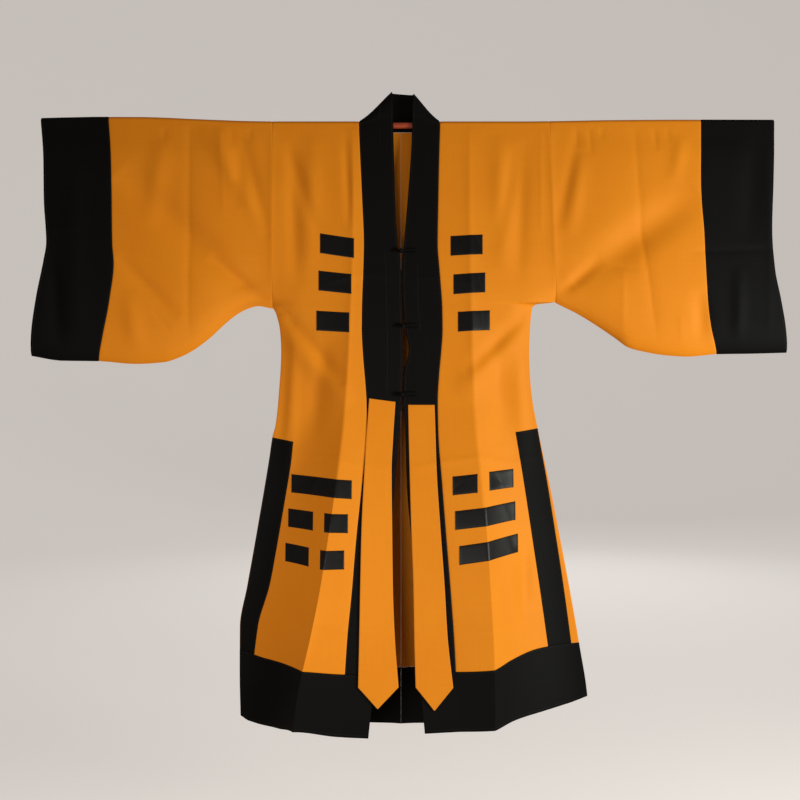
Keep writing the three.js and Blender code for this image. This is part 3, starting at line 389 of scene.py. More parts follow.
def ease(share):
    share = np.clip(share, 0, 1)
    return share * share * (3 - 2 * share)


def points(x, y, z):
    return np.stack(np.broadcast_arrays(x, y, z), axis=-1).astype(float)


def crease_depth(creases, x, drop):
    """How far these creases push each place of a layer outwards."""
    total = np.zeros(np.broadcast(x, drop).shape)
    for kind, path, rise, wide in creases:
        path = np.array(path, float)
        lengths = np.linalg.norm(np.diff(path, axis=0), axis=1)
        starts = np.concatenate([[0], np.cumsum(lengths)])
        nearest = np.full(total.shape, np.inf)
        share = np.zeros(total.shape)
        for start, end, length, begin in zip(path[:-1], path[1:], lengths, starts):
            ahead = (end - start) / length
            run = np.clip((x - start[0]) * ahead[0] + (drop - start[1]) * ahead[1], 0, length)
            off = np.hypot(x - start[0] - run * ahead[0], drop - start[1] - run * ahead[1])
            closer = off < nearest
            nearest = np.where(closer, off, nearest)
            share = np.where(closer, (begin + run) / starts[-1], share)
        across = np.exp(-nearest / wide) if kind == "pressed" else np.exp(-((nearest / wide) ** 2))
        total += rise * across * np.sin(math.pi * share) ** (0.4 if kind == "pressed" else 0.8)
    return total


def lifted(side, x, drop):
    """Height of a place on a layer, which the rod's bow still lifts near the top."""
    return rod_height(SIGN[side] * x) * np.maximum(0, 1 - drop / SLEEVE_FADE) - drop


def front_at(side, across, drop):
    """Points of the front layer. Across is 0 at the free edge, 1 at the band's seam, 2 at the
    pressed ridge and 3 at the sleeve's seam or the side."""
    across, drop = np.broadcast_arrays(across, drop)
    piece = np.clip(np.floor(across), 0, 2).astype(int)
    t = across - piece
    lines = np.stack([read(FRONT_LINES[side], n, drop) for n in LINE_NAMES])
    depths = np.stack([read(FRONT_DEPTHS, n, drop) for n in LINE_NAMES])
    pick = lambda marks, k: np.take_along_axis(marks, k[None], axis=0)[0]
    x = mix(pick(lines, piece), pick(lines, piece + 1), t)
    hollow = np.where(piece == 2, read(FRONT_DEPTHS, "hollow", drop), 0)
    flank = read(FRONT_DEPTHS, "flank", drop)
    drawn_in = np.clip((across - 3 + DRAWN_IN) / DRAWN_IN, 0, 1) ** 2
    outer = np.where(piece == 2, flank, pick(depths, piece + 1))
    forward = mix(pick(depths, piece), outer, mix(t, 1 - (1 - t) ** 2, hollow))
    forward = forward + drawn_in * (depths[3] - flank)
    z = lifted(side, x, drop)
    near_side = np.where(drop > ARMPIT[side] - STILL_ABOVE_PIT, 1 - ease((across - 2.8) / 0.2), 1)
    below_rod = ease(drop / STILL_BELOW_ROD)
    forward = forward + crease_depth(CREASES[side], x, -z) * near_side * below_rod
    return points(SIGN[side] * x, -forward, z)


def across_at(side, x, drop):
    """The across value of the front at a distance from the middle."""
    free, band, ridge, edge = (read(FRONT_LINES[side], n, drop) for n in LINE_NAMES)
    return np.select(
        [x < band, x < ridge],
        [(x - free) / (band - free), 1 + (x - band) / (ridge - band)],
        2 + (x - ridge) / (edge - ridge),
    )


def stretched_drop(level, seam):
    share = (level - EVEN_TO) / (HEM_LEVEL - EVEN_TO)
    return np.where(level <= EVEN_TO, level, mix(EVEN_TO, seam, share))


def over_rod(x, turn, face, forward=0, thick=CLOTH_FORM):
    """Points of cloth that bends over the rod. It eases out to a depth at the axis's level."""
    reach = ROD_RADIUS + ROD_GAP + thick / 2
    level_with = np.maximum(reach, forward)
    out = mix(reach, level_with, ease(1 - turn / (math.pi / 2)))
    return points(x, face * out * np.cos(turn), rod_height(x) + reach * np.sin(turn))


class Cloth:
    """A piece of cloth: a closed wall about a grid of middle points, rows by columns.

    The seams name the edges that are sewn to a neighbour, where the cloth dips a little.
    """

    DIP = 0.45
    DIP_WIDTH = 1.6
    ROUNDED = 0.5  # how thick the wall still is at its very edge, as a share
    ROOM = 2.4  # a line is left out where the cloth is narrower than this many insets

    def __init__(self, name, grid, thick, material, seams="", closed=False, flip=False, grain=0.0):
        high, wide = grid.shape[:2]
        beside = np.roll(grid, -1, axis=1) - np.roll(grid, 1, axis=1)
        if not closed:
            beside = np.gradient(grid, axis=1)
        normal = np.cross(beside, np.gradient(grid, axis=0))
        normal /= np.linalg.norm(normal, axis=2)[..., None]
        if flip:
            normal = -normal
        steps_along = np.linalg.norm(np.roll(grid, -1, axis=1) - grid, axis=2)
        steps_down = np.linalg.norm(np.diff(grid, axis=0), axis=2)
        along = np.concatenate([np.zeros((high, 1)), np.cumsum(steps_along, axis=1)], axis=1)
        down = np.concatenate([np.zeros((1, wide)), np.cumsum(steps_down, axis=0)], axis=0)
        round_length = along[:, -1].max() if closed else along[:, -2].max()
        self.edges = {
            "first": along[:, :wide],
            "last": along[:, wide - 1 : wide] - along[:, :wide],
            "top": down,
            "bottom": down[-1:] - down,
        }
        dip = sum(np.exp(-self.edges[edge] / self.DIP_WIDTH) for edge in seams.split())
        middle = grid - normal * (self.DIP * dip if seams else 0.0 * down)[..., None]
        half = np.full((high, wide), thick / 2)
        half[[0, -1]] *= self.ROUNDED
        if not closed:
            half[:, [0, -1]] *= self.ROUNDED
        self.outer = middle + normal * half[..., None]
        inner = middle - normal * half[..., None]
        last = wide if closed else wide - 1
        i, j = np.meshgrid(np.arange(high - 1), np.arange(last), indexing="ij")
        k = (j + 1) % wide
        corners = [grid[i, j], grid[i, k], grid[i + 1, k], grid[i + 1, j]]
        spread = np.cross(corners[2] - corners[0], corners[3] - corners[1])
        area = np.linalg.norm(spread, axis=2).sum() / 2

        under = high * wide
        spot = lambda r, c: r * wide + c % wide
        quads, cut = [], []

        def add(rows_cols, below):
            corner_spots = [spot(r, c) + under * b for (r, c), b in zip(rows_cols, below)]
            corner_cuts = [np.stack([along[r, c] + grain, down[r, c % wide]], -1) for r, c in rows_cols]
            order = slice(None, None, -1) if flip else slice(None)
            quads.append(np.stack(corner_spots[order], -1).reshape(-1, 4))
            cut.append(np.stack(corner_cuts[order], -2).reshape(-1, 4, 2))

        n = j + 1
        add([(i, j), (i, n), (i + 1, n), (i + 1, j)], (0, 0, 0, 0))
        add([(i, j), (i + 1, j), (i + 1, n), (i, n)], (1, 1, 1, 1))
        c, r = np.arange(last), np.arange(high - 1)
        top, bottom = 0 * c, 0 * c + high - 1
        add([(top, c), (top, c), (top, c + 1), (top, c + 1)], (0, 1, 1, 0))
        add([(bottom, c + 1), (bottom, c + 1), (bottom, c), (bottom, c)], (0, 1, 1, 0))
        if not closed:
            start, end = 0 * r, 0 * r + wide - 1
            add([(r + 1, start), (r + 1, start), (r, start), (r, start)], (0, 1, 1, 0))
            add([(r, end), (r, end), (r + 1, end), (r + 1, end)], (0, 1, 1, 0))
        both = np.concatenate([self.outer.reshape(-1, 3), inner.reshape(-1, 3)])
        self.piece = mesh_piece(name, both, np.concatenate(quads).tolist(), material)
        layer = self.piece.data.uv_layers.new(name="cut")
        layer.data.foreach_set("uv", (np.concatenate(cut) * MM).astype(np.float32).ravel())
        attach(self.piece, "root")
        self.flat = (round_length * MM, down[-1].max() * MM)
        self.area = area * MM * MM

    def stands_for(self, node):
        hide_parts(node)
        return self

    def line(self, edge, inset):
        """A line on the outer face that runs along an edge, this far in from it."""
        distance = self.edges[edge]
        face = self.outer
        if edge in ("top", "bottom"):
            distance, face = distance.T, face.transpose(1, 0, 2)
        found = []
        for far, row in zip(distance, face):
            if far.max() < self.ROOM * inset:
                continue
            order = np.argsort(far)
            found.append([np.interp(inset, far[order], row[order, n]) for n in range(3)])
        return np.array(found)


def woven(finish, pitch):
    """Height of a plain weave of that pitch in millimetres, and its uneven threads."""
    cut = finish.cut()
    u, v = finish.node("ShaderNodeSeparateXYZ", ("X", "Y"), (), {"Vector": cut})
    turn = math.pi / (pitch * MM)
    crossing = finish.maths("SINE", u * turn) * finish.maths("SINE", v * turn)
    warp = finish.noise(finish.stretched(cut, (1 / (2.2 * pitch * MM), 9, 1)), detail=2)
    weft = finish.noise(finish.stretched(cut, (9, 1 / (2.2 * pitch * MM), 1)), detail=2)
    return crossing, warp * 0.5 + weft * 0.5


def yellow_cloth():
    finish = Finish("yellow_cloth")
    crossing, threads = woven(finish, pitch=0.42)
    place = finish.place()
    mottle = finish.noise(place, scale=9, detail=4)
    rumple = finish.noise(place, scale=60, detail=3)
    share = finish.clamped(threads * 1.1 + mottle * 0.7 + crossing * 0.06 - 0.35)
    relief = crossing * 0.5 + threads * 0.9 + rumple * 1.6
    return finish.closed({
        "Base Color": finish.blend(share, YELLOW_DEEP, YELLOW),
        "Roughness": threads * 0.16 + 0.56,
        "Specular IOR Level": 0.2,
        "Sheen Weight": 0.08,
        "Sheen Roughness": 0.4,
        "Sheen Tint": (1.0, 0.6, 0.2, 1),
        "Normal": finish.bump(relief, depth=0.1, strength=0.55),
    })


yellow = yellow_cloth()
rod_turns = np.radians(np.arange(89, 4, -12))


def columns(*marks):
    """Across values, with a few more just inside the ends. Each mark is (from, to, steps)."""
    inner = [np.linspace(a, b, count + 1)[:-1] for (a, b, count) in marks]
    ends = marks[0][0], marks[-1][1]
    near = [ends[0] + s * (marks[0][1] - marks[0][0]) / marks[0][2] for s in (0.2, 0.5)]
    near += [ends[1] - s * (marks[-1][1] - marks[-1][0]) / marks[-1][2] for s in (0.2, 0.5)]
    return np.unique(np.concatenate([*inner, near, ends[1:]]))


def body_levels(side, start=0, spacing=4.4):
    """Drops of the rows of a body panel, closer together at the armpit."""
    even = np.linspace(start, HEM_LEVEL, round((HEM_LEVEL - start) / spacing) + 1)
    pit = ARMPIT[side] + np.arange(-4, 16, 1.6)
    last = HEM_LEVEL - np.array([0.8, 2.0])
    return np.unique(np.concatenate([even, pit[pit > start], last]))


for side in SIDES:
    across = columns((1, 2, 14), (2, 3, 46))
    levels = body_levels(side)
    seam = read(HEM[side], "seam", across)
    drops = stretched_drop(levels[:, None], seam[None] - SEAM)
    hanging = front_at(side, across[None], drops)
    top = hanging[0]
    bent = over_rod(top[None, :, 0], rod_turns[:, None], -1, forward=-top[None, :, 1])
    grid = np.concatenate([bent, hanging])
    grain = np.abs(grid[:, :1, 0]).mean()
    Cloth(
        f"front_panel_{side}", grid, CLOTH, yellow,
        seams="first last bottom", flip=side == "left", grain=grain,
    ).stands_for(f"front_{side}")

# The two backs are joined by a seam down the middle and run up over the rod to meet the fronts.
# Along the side slits they are a little narrower than the fronts. They hang in shallow flutes.
BACK_DEPTHS = table("drop middle side", [
    (0, 7.6, 7.4), (60, 8.6, 8), (150, 9.8, 9), (250, 10.6, 8), (325, 11, 5), (345, 11.2, 3.4),
    (353, 11.3, 1.6), (366, 11.4, 0.6), (620, 12.5, 0.6), (720, 13, 5), (1200, 16, 13),
])
BACK_INSET = table("drop by", [(600, 0), (720, 5), (1200, 14)])
BACK_HEM = table("share seam edge", [(0, 1088, 1202), (0.6, 1071, 1186), (1, 1036, 1150)])
FLUTE = {"spacing": 168, "depth": 5, "start": 420, "end": 1200}
NECK_HALF_WIDTH = {"right": 84, "left": 78}
OVER_LENGTH = (ROD_RADIUS + ROD_GAP + CLOTH_FORM / 2) * math.pi / 2
NECKLINE = table("inside length", [
    (-0.8, 0.1), (1.2, OVER_LENGTH * 0.36), (4.2, OVER_LENGTH * 0.7), (12, OVER_LENGTH + 5.4),
    (27, OVER_LENGTH + 10.8), (54, OVER_LENGTH + 12.6), (84, OVER_LENGTH + 12.8),
])
NECK_REACH = 16  # how far down the rows that follow the neckline end
EVEN_FROM = 34  # the drop from which the backs' rows are evenly spaced
BACK_CREASES = {
    "right": [
        ("pressed", [(118, 20), (124, 560), (160, 1060)], 1.4, 12),
        ("pressed", [(4, 318), (120, 322), (252, 316)], 0.6, 6),
        ("pressed", [(4, 668), (130, 664), (255, 672)], 0.7, 6),
        ("pressed", [(4, 980), (150, 986), (300, 978)], 0.6, 6),
        ("soft", [(60, 60), (66, 420)], -1.6, 20),
        ("soft", [(188, 40), (180, 330)], 1.5, 18),
        ("soft", [(240, 372), (120, 520)], 3.0, 22),
        ("soft", [(420, 20), (300, 250)], -3.2, 28),
        ("pressed", [(421, 0), (424, 450)], 0.8, 9),
        ("soft", [(560, 180), (470, 400)], 2.4, 22),
        ("pressed", [(600, 212), (716, 216)], 0.5, 6),
    ],
    "left": [
        ("pressed", [(122, 20), (128, 560), (170, 1060)], 1.4, 12),
        ("pressed", [(4, 318), (120, 314), (262, 322)], 0.6, 6),
        ("pressed", [(4, 668), (130, 674), (270, 664)], 0.7, 6),
        ("pressed", [(4, 980), (150, 974), (320, 986)], 0.6, 6),
        ("soft", [(70, 50), (62, 400)], -1.6, 20),
        ("soft", [(206, 50), (212, 330)], 1.5, 18),
        ("soft", [(252, 366), (140, 510)], 3.0, 22),
        ("soft", [(450, 20), (350, 240)], -3.2, 28),
        ("pressed", [(464, 0), (490, 452)], 0.8, 9),
        ("soft", [(610, 170), (520, 390)], 2.4, 22),
        ("pressed", [(600, 252), (742, 248)], 0.5, 6),
    ],
}


def back_at(side, share, drop):
    """Points of the back layer. Share is 0 at the seam down the middle and 1 at the side."""
    inset = read(BACK_INSET, "by", drop)
    edge = read(FRONT_LINES[side], "side", drop) - inset
    x = mix(SEAM / 2, edge, share)
    swing = ease((drop - FLUTE["start"]) / (FLUTE["end"] - FLUTE["start"])) * (1 - share**4)
    flute = FLUTE["depth"] * swing * np.cos(2 * math.pi * x / FLUTE["spacing"])
    behind = mix(read(BACK_DEPTHS, "middle", drop), read(BACK_DEPTHS, "side", drop), share**3)
    z = lifted(side, x, drop)
    near_side = np.where(drop > ARMPIT[side] - STILL_ABOVE_PIT, 1 - ease((share - 0.9) / 0.1), 1)
    near_rod = ease((drop - STILL_BELOW_ROD) / 20)
    behind = behind + crease_depth(BACK_CREASES[side], x, -z) * near_side * near_rod
    return points(SIGN[side] * x, behind + flute, z)


for side in SIDES:
    neck, edge = NECK_HALF_WIDTH[side], FRONT_LINES[side]["side"][0]
    shares = np.unique(np.concatenate([
        columns((0, 1, 62)), (neck - NECKLINE["inside"][:5]) / edge,
    ]))
    start = np.interp(neck - shares * edge, NECKLINE["inside"], NECKLINE["length"])
    levels = body_levels(side, start=EVEN_FROM)
    seam = read(BACK_HEM, "seam", shares)
    drops = stretched_drop(levels[:, None], seam[None] - SEAM)
    begin = np.where(start < OVER_LENGTH, 0, NECK_REACH)
    rows = []
    for t in np.linspace(0, 1, 7):
        length = mix(start, OVER_LENGTH + begin, t)
        turn = math.pi / 2 * (1 - np.minimum(length / OVER_LENGTH, 1))
        hung = back_at(side, shares, np.maximum(length - OVER_LENGTH, 0))
        depth = back_at(side, shares, np.zeros_like(shares))[:, 1]
        bent = over_rod(hung[:, 0], turn, 1, forward=depth)
        rows.append(np.where((length > OVER_LENGTH)[:, None], hung, bent))
    for t in np.linspace(0.3, 0.75, 3):
        rows.append(back_at(side, shares, mix(begin, EVEN_FROM, t)))
    grid = np.concatenate([np.array(rows), back_at(side, shares[None], drops)])
    Cloth(
        f"back_panel_{side}", grid, CLOTH, yellow,
        seams="first last bottom", flip=side == "right",
    ).stands_for(f"back_{side}")

# Each sleeve is one wide piece of the yellow cloth, folded at the top over the rod and closed
# along the underside, which curves from the armpit out to a deep hanging bag.
CUFF_LINES = {
    "right": table("down seam edge", [
        (0, 583, 718), (0.16, 576, 710), (0.35, 573, 707), (0.52, 571, 701.5), (0.6, 568, 707),
        (0.75, 576.5, 721), (0.89, 590.5, 732), (1, 603.5, 738),
    ]),
    "left": table("down seam edge", [
        (0, 598, 744), (0.27, 594.5, 738), (0.48, 600, 734), (0.64, 603, 739), (0.77, 607, 751),
        (0.88, 614, 761), (1, 630, 770),
    ]),
}
UNDERSIDE = {
    "right": table("out drop", [
        (257, 366), (285, 361), (303, 365), (326, 376.5), (351, 396), (381, 424), (417, 450.5),
        (443, 463.5), (473, 473), (529, 476.5), (605, 471), (676, 470), (741, 460),
    ]),
    "left": table("out drop", [
        (308, 354), (320, 360), (353, 376.5), (394, 402), (429, 426), (455, 444), (480, 451),
        (526, 459), (572, 462), (632, 457), (698, 456), (772, 454),
    ]),
}
SLEEVE_SECTION = table("down before behind", [
    (0, 7.4, 7.4), (0.06, 11, 8.4), (0.15, 17, 9.6), (0.3, 22, 11), (0.5, 26, 12), (0.7, 28, 12),
    (0.85, 25, 11), (0.94, 18, 9), (0.985, 9, 4.5), (1, 2.5, -2.5),
])
SLEEVE_EASE = 0.45
RING_DOWN = np.concatenate([
    [0, 0.008], np.linspace(0.016, 0.94, 96), [0.95, 0.96, 0.969, 0.977, 0.984, 0.99, 0.996],
])


def sleeve_ring(side, out, shift=0.0, thick=CLOTH_FORM):
    """One ring of the sleeve: out is 0 at the body, 1 at the cuff's seam, 2 at its open edge."""
    pit = ARMPIT[side]
    lines = CUFF_LINES[side]

    def x_at(down):
        body = read(FRONT_LINES[side], "side", np.minimum(down * pit, pit - 1))
        seam = read(lines, "seam", down)
        edge = read(lines, "edge", down)
        return (mix(body, seam, out) if out <= 1 else mix(seam, edge, out - 1)) + shift

    bottom = read(UNDERSIDE[side], "drop", x_at(1.0))
    top = x_at(0.0)
    blend = ease(out / SLEEVE_EASE)
    x = x_at(RING_DOWN)
    z = mix(rod_height(SIGN[side] * top), -bottom, RING_DOWN)
    drop = np.minimum(RING_DOWN * pit, pit - 1)
    padding = (thick - CLOTH_FORM) / 2
    still = (1 - ease((RING_DOWN - 0.85) / 0.15)) * ease(RING_DOWN * pit / STILL_BELOW_ROD)
    before = mix(read(FRONT_DEPTHS, "side", drop), read(SLEEVE_SECTION, "before", RING_DOWN), blend)
    behind = mix(read(BACK_DEPTHS, "side", drop), read(SLEEVE_SECTION, "behind", RING_DOWN), blend)
    before = before + padding + crease_depth(CREASES[side], x, -z) * still
    behind = behind + padding + crease_depth(BACK_CREASES[side], x, -z) * still
    arc = np.radians(np.arange(78, 5, -12))
    return np.concatenate([
        over_rod(SIGN[side] * top, np.array([math.pi / 2]), 1, thick=thick),
        over_rod(SIGN[side] * top, arc, -1, thick=thick),
        points(SIGN[side] * x, -before, z),
        points(SIGN[side] * x_at(1.0), [-2.5 * blend], [-bottom]),
        points(SIGN[side] * x, behind, z)[::-1],
        over_rod(SIGN[side] * top, arc[::-1], 1, thick=thick),
    ])


for side in SIDES:
    outs = columns((0, 1, 76))
    shifts = np.where(outs == 0, SEAM / 2, np.where(outs == 1, -SEAM / 2, 0))
    rings = np.array([sleeve_ring(side, o, s) for o, s in zip(outs, shifts)])
    Cloth(
        f"sleeve_tube_{side}", rings, CLOTH, yellow,
        seams="top bottom", closed=True, flip=side == "right",
    ).stands_for(f"sleeve_{side}")

# The cuffs are deep bands of black cotton, cut double, folded at the open edge and sewn on. One
# row of machine stitches runs just outside the seam and one along the open edge.
BAND = 1.3
BLACK = (0.0035, 0.0036, 0.0034, 1)
BLACK_DEEP = (0.0018, 0.0018, 0.0018, 1)
BLACK_THREAD = (0.012, 0.012, 0.012, 1)
STITCH = {"pitch": 3.1, "length": 2.3, "radius": 0.26}


def black_cloth():
    finish = Finish("black_cloth")
    crossing, threads = woven(finish, pitch=0.46)
    place = finish.place()
    dusty = finish.noise(place, scale=14, detail=4)
    lint = finish.noise(place, scale=420, detail=2)
    share = finish.clamped(threads * 0.9 + dusty * 0.6 + lint * 0.3 - 0.4)
    relief = crossing * 0.5 + threads * 0.9 + finish.noise(place, scale=55, detail=3) * 1.6
    return finish.closed({
        "Base Color": finish.blend(share, BLACK_DEEP, BLACK),
        "Roughness": threads * 0.2 + 0.55,
        "Specular IOR Level": 0.09,
        "Normal": finish.bump(relief, depth=0.11, strength=0.6),
    })


def thread(name, colour):
    """Sewing thread: two plies twisted, slightly waxed."""
    finish = Finish(name)
    place = finish.place()
    plies = finish.noise(place, scale=2600, detail=1)
    deep = tuple(0.6 * c for c in colour[:3]) + (1,)
    return finish.closed({
        "Base Color": finish.blend(plies, deep, colour),
        "Roughness": plies * 0.2 + 0.42,
        "Normal": finish.bump(plies, depth=0.05, strength=0.5),
    })


def stitch_tree():
    """Geometry nodes that set one short stitch after another along the drawn lines."""
    tree = bpy.data.node_groups.new("stitches", "GeometryNodeTree")
    sockets = [
        ("Lines", "INPUT", "NodeSocketGeometry"), ("Pitch", "INPUT", "NodeSocketFloat"),
        ("Length", "INPUT", "NodeSocketFloat"), ("Radius", "INPUT", "NodeSocketFloat"),
        ("Thread", "INPUT", "NodeSocketMaterial"), ("Stitches", "OUTPUT", "NodeSocketGeometry"),
    ]
    for name, way, kind in sockets:
        tree.interface.new_socket(name, in_out=way, socket_type=kind)

    def node(kind, settings=(), sockets=()):
        return add_node(tree, kind, settings, sockets)

    given = node("NodeGroupInput").outputs
    curve = node("GeometryNodeMeshToCurve", (), {"Mesh": given["Lines"]}).outputs[0]
    spacing = {"Curve": curve, "Length": given["Pitch"]}
    spaced = node("GeometryNodeResampleCurve", {"mode": "LENGTH"}, spacing)
    ball = node("GeometryNodeMeshUVSphere", (), {"Segments": 6, "Rings": 4, "Radius": 1.0})
    half = node("ShaderNodeMath", {"operation": "MULTIPLY"}, {0: given["Length"], 1: 0.5}).outputs[0]
    size = node("ShaderNodeCombineXYZ", (), {"X": given["Radius"], "Y": given["Radius"], "Z": half})
    shape = node("GeometryNodeTransform", (), {"Geometry": ball.outputs["Mesh"], "Scale": size.outputs[0]})
    tangent = node("GeometryNodeInputTangent").outputs[0]
    turn = node("FunctionNodeAlignRotationToVector", {"axis": "Z"}, {"Vector": tangent}).outputs[0]
    placed = node("GeometryNodeInstanceOnPoints", (), {
        "Points": spaced.outputs[0], "Instance": shape.outputs[0], "Rotation": turn,
    })
    real = node("GeometryNodeRealizeInstances", (), {"Geometry": placed.outputs[0]})
    dyed = node("GeometryNodeSetMaterial", (), {"Geometry": real.outputs[0], "Material": given["Thread"]})
    node("NodeGroupOutput", (), {"Stitches": dyed.outputs[0]})
    return tree


STITCHES = stitch_tree()


def sew(name, lines, material):
    """One piece that holds the stitches along these lines, in millimetres."""
    ends = np.cumsum([0] + [len(line) for line in lines])
    edges = [(k, k + 1) for a, b in zip(ends[:-1], ends[1:]) for k in range(a, b - 1)]
    drawn = bpy.data.meshes.new(name + "_lines")
    drawn.from_pydata((np.concatenate(lines) * MM).tolist(), edges, [])
    guide = in_scene(name + "_lines", drawn)
    modifier = guide.modifiers.new("stitches", "NODES")
    modifier.node_group = STITCHES
    values = {
        "Pitch": STITCH["pitch"] * MM, "Length": STITCH["length"] * MM,
        "Radius": STITCH["radius"] * MM, "Thread": material,
    }
    for socket in STITCHES.interface.items_tree:
        if socket.name in values:
            modifier[socket.identifier] = values[socket.name]
    bpy.context.view_layer.update()
    evaluated = guide.evaluated_get(bpy.context.evaluated_depsgraph_get())
    mesh = bpy.data.meshes.new_from_object(evaluated)
    mesh.name = name
    mesh.shade_smooth()
    bpy.data.objects.remove(guide)
    piece = in_scene(name, mesh)
    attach(piece, "root")
    return piece


black = black_cloth()
black_thread = thread("black_thread", BLACK_THREAD)
cuff_lines = []
for side in SIDES:
    outs = columns((1, 2, 32))
    shifts = np.where(outs == 1, SEAM / 2, 0)
    rings = np.array([sleeve_ring(side, o, s, thick=2) for o, s in zip(outs, shifts)])
    cuff = Cloth(
        f"cuff_band_{side}", rings, BAND, black, seams="top", closed=True, flip=side == "right",
    ).stands_for(f"cuff_{side}")
    cuff_lines += [cuff.line("top", 2), cuff.line("bottom", 4)]
sew("stitches_cuffs", cuff_lines, black_thread)

# The collar is one long straight strip of the black cotton over a stiffener. It runs up one front
# edge, folds over the rod, stands round the neck and comes down the other edge.
COLLAR = 1.8
COLLAR_FORM = 3
COLLAR_GAP = 0.3  # between the collar and what lies next to it
COLLAR_ROWS = 120
NECK_STEPS = 5  # rows between two of the sections round the neck
NECK_SAG = 5
COLLAR_END = {"right": (545, 554), "left": (558.5, 558.5)}  # the drop at its outer and free edge
COLLAR_OVER = ROD_RADIUS + ROD_GAP + COLLAR_FORM / 2
NECK_SECTIONS = {
    "right": table("turn seam_x free_x free_y free_z", [
        (-20, 83.6, 16, -10, 15), (8, 83.6, 16.2, -10.2, 27), (35, 83.4, 16.4, -10, 42),
        (62, 83, 17, -8, 56), (90, 82, 18, -2, 65.5), (118, 80.4, 18.6, 4, 67),
        (146, 78.2, 18.2, 8.5, 67), (173, 75.4, 17.2, 10.4, 67),
    ]),
    "left": table("turn seam_x free_x free_y free_z", [
        (-20, 77.6, 22.4, -10, 15), (8, 77.6, 22.6, -10.2, 26), (35, 77.4, 23, -10, 39),
        (62, 77, 23.8, -8, 52), (90, 76.2, 24.6, -2, 62), (118, 74.6, 25.2, 4, 63.4),
        (146, 72.4, 24.8, 8.5, 63.6), (173, 69.6, 23.8, 10.4, 63.6),
    ]),
}
NAPE_SECTIONS = table("seam_x seam_y seam_z free_x free_y free_z", [
    (-71, 9.6, -4, -16, 11.5, 66.7), (-56, 10.6, -9.4, -12, 12.2, 66.4),
    (-26, 11, -11.4, -5, 12.8, 65.8), (2, 11.2, -11.6, 3, 13, 65.2),
    (30, 11, -11.4, 11, 12.8, 64.6), (54, 10.6, -9.4, 18, 12.2, 64), (66, 9.6, -4, 22.6, 11.5, 63.8),
])
COLLAR_TOP = 14  # the drop at which it starts to fold over the rod
collar_shares = columns((0, 1, 18))


def collar_end(side, share):
    """The drop of the collar's lower end, which is cut on a slant on the right."""
    return mix(*COLLAR_END[side], share)


def collar_front(side):
    end = collar_end(side, collar_shares)
    drops = mix(end[None], COLLAR_TOP, np.linspace(0, 1, COLLAR_ROWS)[:, None])
    grid = front_at(side, (1 - collar_shares)[None], drops)
    grid[:, :, 1] = np.minimum(grid[:, :, 1], -COLLAR_OVER)
    return grid


def collar_shoulder(side):
    s = NECK_SECTIONS[side]
    turn = np.radians(s["turn"])
    seam = points(
        SIGN[side] * s["seam_x"],
        -COLLAR_OVER * np.cos(turn),
        rod_height(SIGN[side] * s["seam_x"]) + COLLAR_OVER * np.sin(turn),
    )
    free = points(SIGN[side] * s["free_x"], s["free_y"], s["free_z"])
    grid = mix(seam[:, None], free[:, None], collar_shares[None, :, None])
    swell = np.sin(math.pi * np.clip((s["turn"] + 20) / 190, 0, 1))[:, None]
    grid[:, :, 2] -= NECK_SAG * swell * np.sin(math.pi * collar_shares) * (1 - collar_shares)
    return grid


def smoothed(sections, count):
    """Sections on a smooth curve through the given ones, with this many in each gap."""
    before, after = 2 * sections[:1] - sections[1:2], 2 * sections[-1:] - sections[-2:-1]
    padded = np.concatenate([before, sections, after])
    found = []
    for k in range(len(sections) - 1):
        a, b, c, d = padded[k : k + 4]
        for t in np.linspace(0, 1, count, endpoint=False):
            found.append(0.5 * (
                2 * b + (c - a) * t + (2 * a - 5 * b + 4 * c - d) * t**2 + (3 * b - a - 3 * c + d) * t**3
            ))
    return np.array(found + [sections[-1]])


nape_seam = points(*(NAPE_SECTIONS["seam_" + n] for n in "xyz"))
nape_free = points(*(NAPE_SECTIONS["free_" + n] for n in "xyz"))
nape = mix(nape_seam[:, None], nape_free[:, None], collar_shares[None, :, None])
right_front, left_front = collar_front("right"), collar_front("left")[::-1]
# The first and the last row here only lead the curve in and out.
round_neck = np.concatenate([
    right_front[-7:-6], right_front[-1:], collar_shoulder("right"), nape,
    collar_shoulder("left")[::-1], left_front[:1], left_front[6:7],
])
neck = smoothed(round_neck, NECK_STEPS)[NECK_STEPS:-NECK_STEPS]
collar_grid = np.concatenate([right_front[:-1], neck, left_front[1:]])
collar = Cloth("collar_strip", collar_grid, COLLAR, black, seams="first")
collar.stands_for("collar")
collar_lines = [collar.line("first", 2.2), collar.line("last", 3.4), collar.line("last", 30)]
sew("stitches_collar", collar_lines, black_thread)

